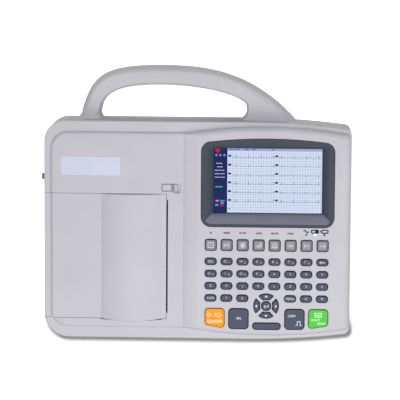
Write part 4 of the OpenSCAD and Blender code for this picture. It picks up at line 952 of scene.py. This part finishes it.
def door():
    """The paper door: side, step, flat and dome in one shell, with its lip, hinge, platen arms and lug."""
    radius = ((DOME_X1 - DOME_X0) ** 2 / 4 + DOME_RISE**2) / (2 * DOME_RISE)
    centre = DECK_Z + DOME_RISE - radius

    def dome(e):
        r = radius - e
        a = math.acos((DECK_Z - e - centre) / r)
        turns = [a - 2 * a * i / 40 for i in range(41)]
        return [(DOME_X - r * math.sin(b), centre + r * math.cos(b)) for b in turns]

    t = WALL
    turn = arc(-HALF_W + EDGE_R, RIM_Z - EDGE_R, EDGE_R, 180, 90, 10)
    step = [(DECK_X + DECK_EDGE * s, z) for s, z in border(RIM_Z, DECK_Z)]
    outer = [(-HALF_W, HINGE_Z)] + turn + step + dome(0) + [(DOOR_RIGHT - 0.4, DECK_Z)]
    outer += [(DOOR_RIGHT, DECK_Z - 0.4)]
    inner = [(DOOR_RIGHT, DECK_Z - t)] + dome(t)[::-1]
    inner += [(DECK_X + t, DECK_Z - t), (DECK_X + t, RIM_Z - t)]
    inner += [(-HALF_W + t, RIM_Z - t), (-HALF_W + t, HINGE_Z)]
    body = along_y(outer + inner, DOOR_FRONT, DOOR_BACK, "paper_door_shell", CASE)
    parts = [along_y(dome(0.05), y, y + t) for y in (DOOR_FRONT, DOOR_BACK - t)]
    lip = along_y(dome(0.02), DOOR_FRONT - DOME_BULGE - 1, DOOR_FRONT + 1.5)
    bulge = prism(bulge_ring(0), DECK_Z - WALL, PANEL_Z + DOME_RISE)
    parts.append(combine(lip, [bulge], "INTERSECT"))
    hinge = (-HALF_W + HINGE_R, DOOR_FRONT, HINGE_Z)
    parts.append(bar(hinge, HINGE_R, DOOR_BACK - DOOR_FRONT, "y"))
    bush_low, bush_high = box_mm("platen_bushes")
    px, _, pz = middle("platen_bushes")
    br = (bush_high.z - bush_low.z) / 2
    arm_r = br + 1.6
    for y in (bush_low.y, bush_high.y - 2):
        arm = bar((px, y, pz), arm_r, 2, "y")
        combine(arm, [block((px - arm_r, y, pz), (px + arm_r, y + 2, DECK_Z - 1))], "UNION")
        combine(arm, [bar((px, y - 1, pz), br, 4, "y")], "DIFFERENCE")
        parts.append(arm)
    corner = (DOOR_RIGHT - 3.7, DOOR_BACK - 4, DECK_Z - 13)
    lug = block(corner, (DOOR_RIGHT - 2.2, DOOR_BACK - 1, DECK_Z - 1))
    hook = block(corner, (DOOR_RIGHT - 0.2, DOOR_BACK - 1, DECK_Z - 11))
    combine(lug, [hook], "UNION")
    parts.append(lug)
    combine(body, parts, "UNION")
    combine(body, [prism(case_ring(0), 0, PANEL_Z + DOME_RISE)], "INTERSECT")
    shown(weighted(body), "door", ["paper_door"])


def latch():
    """The sliding thumb block with its notch and ramp, the stem under it and the finger over the lug."""
    a, b = box_mm("door_latch")
    x0, x1 = LATCH_X0 + 1, b.x
    low_z, top = LATCH_FLOOR + 0.1, DECK_Z + 0.2
    notch, ramp = 8.9, 12.2
    profile = [(0, top - 0.4), (0.4, top), (notch - 0.4, top), (notch, top - 0.4), (notch + 0.1, top - 2.2)]
    profile += [(ramp - 0.3, top - 2.2), (ramp, top - 0.3), (14, top - 0.5)]
    profile = [(x0, low_z)] + [(x0 + x, z) for x, z in profile] + [(x1, LATCH_FLOOR + 1), (x1, low_z)]
    body = along_y(profile, LATCH_Y0 + 1, LATCH_Y1 - 1, "latch_block", CASE)
    sx, sy = DOOR_RIGHT - 1.9, LATCH_Y1 - 2.3
    stem = block((sx, LATCH_Y0 + 2.3, a.z), (sx + 6, sy, LATCH_FLOOR + 1))
    finger = block((sx, a.y, a.z), (sx + 6, sy, a.z + 2))
    combine(body, [stem, finger], "UNION")
    # Painted shade: the notch between thumb block and ramp is painted darker, for the shade in it.
    body.data.materials.append(surface("latch_notch_painted_shade", (150, 150, 158), roughness=0.6))
    for face in body.data.polygons:
        across = (face.center.x - CASE_MID.x) / MM - x0
        if notch < across < ramp and face.center.z > (LATCH_FLOOR + 0.2) * MM:
            face.material_index = 1
    shown(weighted(body), "latch", ["door_latch"])


def springs():
    """Steel copies of the latch's and the print head's coil springs, hung on the case."""
    for node, joint, travel in (("latch_spring", "latch_slide", 2.4), ("head_springs", "head_slide", 0.8)):
        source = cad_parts[node]
        coil = new_object(node + "_coil", source.data.copy())
        coil.matrix_world = source.matrix_world
        coil.data.materials.clear()
        coil.data.materials.append(STEEL)
        shown(coil, "case", [node])
        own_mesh(coil)


# ---- keys


def cap(name, rings, material, edge, inset=None):
    """Key caps in one mesh, with rounded edges, sides painted darker as painted shade and, if inset, a
    groove on top whose floor is painted darker as painted shade.
    """
    points, faces, shades = [], [], []
    side, r = -KEY_SHRINK, 1.0
    steps = [(0.9, KEY_LOW_Z), (0.9, KEY_LOW_Z + 1.3), (side, KEY_LOW_Z + 1.3), (side, PANEL_Z - 0.3)]
    for i in range(6):
        a = math.pi / 2 * i / 5
        steps.append((side - r * (1 - math.cos(a)), KEY_TOP - r + r * math.sin(a)))
    # Which material each band of faces between two steps has: 0 the top's, 1 the sides' painted shade, 2 the
    # groove's painted shade
    shade_of = {j: 1 for j in range(9 if inset else 8)}
    if inset:
        floor_z = KEY_TOP - 0.3
        steps += [(-inset, KEY_TOP), (-inset - 0.1, floor_z - 0.2), (-inset - 0.45, floor_z - 0.2)]
        steps += [(-inset - 0.5, floor_z), (-inset - 1, floor_z)]
        # The groove's floor bands get the painted shade.
        shade_of[10] = shade_of[11] = 2
    else:
        steps.append((-2.2, KEY_TOP))
    for ring in rings:
        outlines = [ring(e) for e, _ in steps]
        n = len(outlines[0])
        faces += skin(n, len(steps), len(points))
        points += [(x, y, z) for outline, (_, z) in zip(outlines, steps) for x, y in outline]
        shades += [1] + [shade_of.get(j, 0) for j in range(len(steps) - 1) for _ in range(n)] + [0]
    obj = link(name, points, faces, material, sharp=50)
    obj.data.materials.append(edge)
    obj.data.materials.append(KEY_GROOVE_PAINTED_SHADE)
    for face, shade in zip(obj.data.polygons, shades):
        face.material_index = shade
    return obj


def key(node, rings, material=KEY_DARK, edge=KEY_SIDE_PAINTED_SHADE, inset=None):
    """The caps of a key's node, which is also the name of their body."""
    shown(cap(node + "_cap", rings, material, edge, inset), node, [node])


LEGEND_Z = KEY_TOP + 0.02


def sign(name, body, lines, ink_used, width, x=0, y=0, z=LEGEND_Z):
    """Strokes about x and y that ride on a body."""
    lines = [[(x + a, y + b) for a, b in line] for line in lines]
    shown(ribbons(name, lines, z, ink_used, width), body)


def words(node, items, ink_used=PALE_INK, weight=0.03):
    shown(lettering(node + "_letters", items, LEGEND_Z, ink_used, weight), node)


def square_icons():
    """Pictures on the eight grey keys, as strokes about the key's middle."""
    wave = [(x * 0.62, 1.1 * math.sin(x * 1.35)) for x in [i / 2 - 3 for i in range(13)]]
    page = rounded(0, 0, 5.4, 5.4, 0.6, 2)
    page.append(page[0])
    bell = arc(0, 0.4, 1.7, 200, -20, 8) + [(2.3, -1.6), (-2.3, -1.6), (-1.6, -0.2)]
    ring = arc(0, 0, 1.1, 0, 360, 12)
    return [
        [page, [(-0.8, 0), (0.8, 0)], [(0, -0.8), (0, 0.8)]],
        [[(-2.6, -1.8), (-2.6, 1.8)], [(-2.6, 0), (0.4, 0), (2.6, 1.6)], [(0.4, 0), (2.6, -1.6)]],
        [[(x, y + d) for x, y in wave] for d in (-1.5, 0, 1.5)],
        [[(x, -2), (x, -2 + h)] for x, h in ((-2.6, 1), (-1.3, 2), (0, 3), (1.3, 4), (2.6, 5))],
        [bell, [(-0.6, -2.4), (0.6, -2.4)]],
        [[(-3.2, 0), (-1.1, 0)], ring, [(1.1, 0), (3.2, 0)]],
        [[(2.8, 0), (-2.8, 0)], [(-1.2, 1.5), (-2.8, 0), (-1.2, -1.5)]],
        [[(-2.8, 0), (2.8, 0)], [(1.2, 1.5), (2.8, 0), (1.2, -1.5)]],
    ]


def square_keys():
    """The eight grey function keys and their pictures, which lie in the inset."""
    for i, (ring, icon) in enumerate(zip(square_rings, square_icons())):
        node = f"function_key_{i + 1}"
        key(node, [ring], KEY_GREY, KEY_GREY_SIDE_PAINTED_SHADE, inset=2.0)
        x, y, _ = middle(node)
        sign(node + "_icon", node, icon, PALE_INK, 0.55, x, y, KEY_TOP - 0.28)


LETTERS = ("QWERTY", "UIOPASDF", "GHJKLZXC", "VBNM")
KEY_WORDS = ({0: "ESC"}, {}, {}, {0: "CAPS", 5: "MENU"})
BACKSPACE_COLUMN = 7


def small_keys():
    """Four rows of small keys: words, a backspace arrow, and letters with the figures beside them."""
    numbers = iter("1234567890")
    backspace = [[(2.6, 0), (-2.6, 0)], [(-1.2, 1.1), (-2.6, 0), (-1.2, -1.1)]]
    for row, rings in enumerate(small_rings):
        node = f"small_keys_row_{row + 1}"
        key(node, rings)
        y = middle(node)[1]
        letters = iter(LETTERS[row])
        items = []
        for column in ROW_COLUMNS[row]:
            x = KEY_X0 + column * COL
            if row == 0 and column == BACKSPACE_COLUMN:
                continue
            if column in KEY_WORDS[row]:
                items.append((KEY_WORDS[row][column], x, y, 2.4))
                continue
            second = next(numbers, None)
            items.append((next(letters), x - (1.4 if second else 0), y + 0.3, 2.3))
            if second:
                items.append((second, x + 2.4, y - 0.9, 1.8))
        words(node, items, weight=0)
        if row == 0:
            sign(node + "_signs", node, backspace, PALE_INK, 0.8, KEY_X0 + BACKSPACE_COLUMN * COL, y)


def pad_keys():
    """Arrow keys with a triangle each, and the enter key."""
    for turn, node in enumerate(ARROWS):
        key(node, [arrow_rings[node]])
        spin = Matrix.Rotation(math.pi / 2 * turn, 2)
        tip = [spin @ Vector(p) + Vector((PANEL_X, PAD_Y)) for p in ((11.2, 0), (9.0, 1.7), (9.0, -1.7))]
        shown(patches(node + "_mark", [[tuple(p) for p in tip]], LEGEND_Z, PALE_INK), node)
    key("enter_key", [enter_ring])
    bent = [[(2.4, 1.6), (2.4, -0.5), (-2.2, -0.5)], [(-0.8, 0.8), (-2.2, -0.5), (-0.8, -1.8)]]
    sign("enter_key_mark", "enter_key", bent, PALE_INK, 0.7, PANEL_X, PAD_Y)


def large_keys():
    """Power, start, fn, copy and space keys with their words and signs."""
    cream, mint = ink("cream_ink", (252, 226, 178)), ink("mint_ink", (214, 242, 206))
    # Painted shade: the orange and green keys' sides are darker copies of their colours.
    key("power_key", [power_ring], KEY_ORANGE, surface("orange_side_painted_shade", (188, 112, 26)))
    key("start_key", [start_ring], KEY_GREEN, surface("green_side_painted_shade", (58, 140, 54)))
    for node, ring in (("fn_key", fn_ring), ("copy_key", copy_ring), ("space_key", space_ring)):
        key(node, [ring])

    x, y, _ = middle("power_key")
    ring = arc(3.6, 3.4, 2.2, 130, 410, 16)
    plug = [(-7.4, 3.6), (-6, 5), (-4.8, 5), (-4.8, 1.8), (-6, 1.8), (-7.4, 3.2)]
    lines = [ring, [(3.6, 3.8), (3.6, 6)], [(-0.6, 1.6), (1, 5.4)], plug]
    lines += [[(-4.8, h), (-2.8, h)] for h in (4.2, 2.6)]
    sign("power_key_sign", "power_key", lines, cream, 0.7, x, y)
    words("power_key", [("ON/OFF", x, y - 3.4, 3.0)], cream, 0.06)

    x, y, _ = middle("start_key")
    sheet = [(-3, 2.4), (-3.4, 6.2), (3.4, 6.2), (3, 2.4), (-3, 2.4)]
    sign("start_key_sign", "start_key", [sheet, [(-1.8, 4.2), (1.8, 4.2)]], mint, 0.9, x, y)
    words("start_key", [("START", x - 2.4, y - 0.9, 2.2), ("/STOP", x + 3.2, y - 4.5, 2.2)], mint, 0.05)

    x, y, _ = middle("copy_key")
    pulse = [(1.2, -6.2), (2.9, -6.2), (2.9, -2.4), (5.7, -2.4), (5.7, -6.2), (7.4, -6.2)]
    sign("copy_key_sign", "copy_key", [pulse], PALE_INK, 0.7, x, y)
    words("copy_key", [("COPY", x - 2.6, y + 3, 2.2)])
    x, y, _ = middle("fn_key")
    words("fn_key", [("FN", x, y, 2.6)])


def panel_marks():
    """Small marks above the first six keys, and the supply signs above the lights."""
    z = PANEL_Z + 0.02
    y = middle("function_key_1")[1] + 12.1
    names = ("ID", "SPEED", "FILTER", "GAIN", "MODE", "RESET")
    items = [(name, KEY_X0 + i * COL, y, 1.8) for i, name in enumerate(names)]
    shown(lettering("key_words", items, z, BLACK_INK, 0.05), "case")
    first, second, third = LIGHT_X
    y = LIGHT_Y + 3.4
    sine = [(first - 2.8 + 5.2 * i / 12, y + 1.1 * math.sin(i / 12 * 2 * math.pi)) for i in range(13)]
    cell = rounded(second - 0.4, y, 6.8, 3, 0.9, 3)
    plug = [(third - 4.6, y), (third - 3, y)]
    shell = rounded(third + 0.5, y, 6.4, 3, 1, 3)
    sign("supply_signs", "case", [sine, cell + [cell[0]], plug, shell + [shell[0]]], BLACK_INK, 1.15, z=z)
    fill = rounded(second + 1.4, y, 3, 2.4, 0.3, 2)
    shown(patches("supply_fill", [fill], z + 0.01, BLACK_INK), "case")


# ---- plain CAD nodes

FINISHES = {
    RUBBER: "rubber_feet platen_rubber",
    STEEL: "screws door_hinge_pins platen_shaft stepper_motor lead_connector data_ports",
    DARK_STEEL: "equipotential_post",
    BRASS: "platen_bushes motor_pinion",
    FILM: "label_plate",
    BLACK: "lcd_module speaker mains_inlet",
    # Painted shade: near black, so the slot shows dark.
    SLOT_PAINTED_SHADE: "print_head tear_bar",
    FRAME_GREY: "printer_frame",
    WHITE: "platen_gear idler_gear paper_spindle",
    PAPER: "paper_roll",
    BOARD: "main_board keypad_board power_board",
    BATTERY: "battery_pack",
    CASE: "battery_door",
}


def paint(node, *materials):
    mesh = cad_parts[node].data
    mesh.materials.clear()
    for material in materials:
        mesh.materials.append(material)
    return mesh


def paint_nodes():
    """Materials of the CAD nodes that show as they are; the middle light is lit."""
    for material, nodes in FINISHES.items():
        for node in nodes.split():
            paint(node, material)
    dark = surface("indicator_off", (72, 72, 80), roughness=0.3)
    mesh = paint("indicator_lights", dark, lit("indicator_lit", (176, 206, 255), 2.6))
    middle_x = LIGHT_X[1] * MM + CASE_MID.x
    for face in mesh.polygons:
        face.material_index = 1 if abs(face.center.x - middle_x) < 0.003 else 0


# ---- light, floor and camera


def area_lamp(name, place, aim, size, power):
    """A square white lamp at place, turned to aim."""
    data = bpy.data.lights.new(name, "AREA")
    data.shape = "SQUARE"
    data.size = size
    data.energy = power
    lamp = new_object(name, data)
    lamp.location = place
    lamp.rotation_mode = "QUATERNION"
    lamp.rotation_quaternion = (Vector(aim) - Vector(place)).to_track_quat("-Z", "Y")
    return lamp


def only(name, obj, state):
    """A collection for light linking: this object alone (INCLUDE), or all but this object (EXCLUDE)."""
    group = bpy.data.collections.new(name)
    group.objects.link(obj)
    group.collection_objects[0].light_linking.link_state = state
    return group


def lights(floor_obj):
    """A key above and behind, a weaker lamp above the front, a key for the floor alone and a soft room.

    The front lamp leaves the floor out, so that the thin shadow under the front edge stays, and passes
    through the paper door, so that the dome throws no second shadow. The floor's own key keeps it white.
    """
    middle_top = (0, 0, 0.06)
    area_lamp("key", (0, 0.36, 2.06), middle_top, 0.16, 16)
    front = area_lamp("front", (0.2, -0.44, 0.78), (0.02, -0.05, 0.06), 0.7, 4)
    front.light_linking.receiver_collection = only("all_but_floor", floor_obj, "EXCLUDE")
    shell = bpy.data.objects["paper_door_shell"]
    front.light_linking.blocker_collection = only("all_but_door", shell, "EXCLUDE")
    floor_key = area_lamp("floor_key", (0, 0.375, 2.06), middle_top, 0.12, 28)
    floor_key.light_linking.receiver_collection = only("floor_only", floor_obj, "INCLUDE")

    world = bpy.data.worlds.new("studio")
    bpy.context.scene.world = world
    world.use_nodes = True
    nodes = world.node_tree.nodes
    soft = nodes["Background"]
    set_inputs(soft, Color=(0.96, 0.97, 1, 1), Strength=0.28)
    backdrop = add_node(nodes, "Background", Color=(1, 1, 1, 1))
    choose = add_node(nodes, "MixShader")
    wire(add_node(nodes, "LightPath"), "Is Camera Ray", choose, "Fac")
    wire(soft, "Background", choose, 1)
    wire(backdrop, "Background", choose, 2)
    wire(choose, "Shader", nodes["World Output"], "Surface")


def floor():
    """A white floor that glows for the camera, a painted pool of light over the case's shade on it, but for
    the strip in front, which keeps its shadow.
    """
    half = 4
    mesh = bpy.data.meshes.new("floor")
    corners = [(-half, -half, 0), (half, -half, 0), (half, half, 0), (-half, half, 0)]
    mesh.from_pydata(corners, [], [[0, 1, 2, 3]])
    made, nodes = new_material("floor")
    shader = nodes["Principled BSDF"]
    set_inputs(shader, Roughness=0.9, Specular_IOR_Level=0.1, Emission_Color=(1, 1, 1, 1))
    front_edge = CASE_MID.y - HALF_D * MM
    place = add_node(nodes, "TexCoord")
    split = add_node(nodes, "SeparateXYZ")
    # Painted light: the glow rises from the case's front edge back, so the shade beside and behind the case,
    # in the handle's opening too, shows white.
    glow = add_node(nodes, "MapRange", From_Min=front_edge - 0.002, From_Max=front_edge + 0.022, To_Max=0.9)
    glow.interpolation_type = "SMOOTHSTEP"
    wire(place, "Object", split, "Vector")
    wire(split, "Y", glow, "Value")
    path = add_node(nodes, "LightPath")
    share = add_node(nodes, "MapRange", To_Min=0.1)
    wire(path, "Is Camera Ray", share, "Value")
    product = add_node(nodes, "Math")
    product.operation = "MULTIPLY"
    wire(glow, "Result", product, 0)
    wire(share, "Result", product, 1)
    wire(product, "Value", shader, "Emission Strength")
    # The floor throws less light back on the object than it shows
    tone = add_node(nodes, "MapRange", To_Min=0.62, To_Max=0.9)
    wire(path, "Is Camera Ray", tone, "Value")
    wire(tone, "Result", shader, "Base Color")
    mesh.materials.append(made)
    obj = new_object("floor", mesh)
    return obj


def camera():
    """Almost straight above, leaning a little to the handle's side."""
    target = Vector((0.00312, 0.00508, 0.0675))
    distance = 2.4
    tilt, yaw, roll = math.radians(7.4), math.radians(2.04), math.radians(0.37)
    back = Vector((math.sin(yaw), math.sin(tilt) * math.cos(yaw), math.cos(tilt) * math.cos(yaw)))
    side = Vector((0, 1, 0)).cross(back).normalized()
    up = back.cross(side)
    right = side * math.cos(roll) + up * math.sin(roll)
    data = bpy.data.cameras.new("camera")
    data.lens = 216
    data.sensor_width = 36
    cam = new_object("camera", data)
    basis = Matrix((right, back.cross(right), back)).transposed()
    cam.matrix_world = Matrix.Translation(target + back * distance) @ basis.to_4x4()
    bpy.context.scene.camera = cam


bpy.context.scene.view_settings.view_transform = "Standard"

case_upper()
case_lower()
handle()
bezel()
window()
display()
door()
latch()
springs()
square_keys()
small_keys()
pad_keys()
large_keys()
panel_marks()
paint_nodes()
lights(floor())
camera()
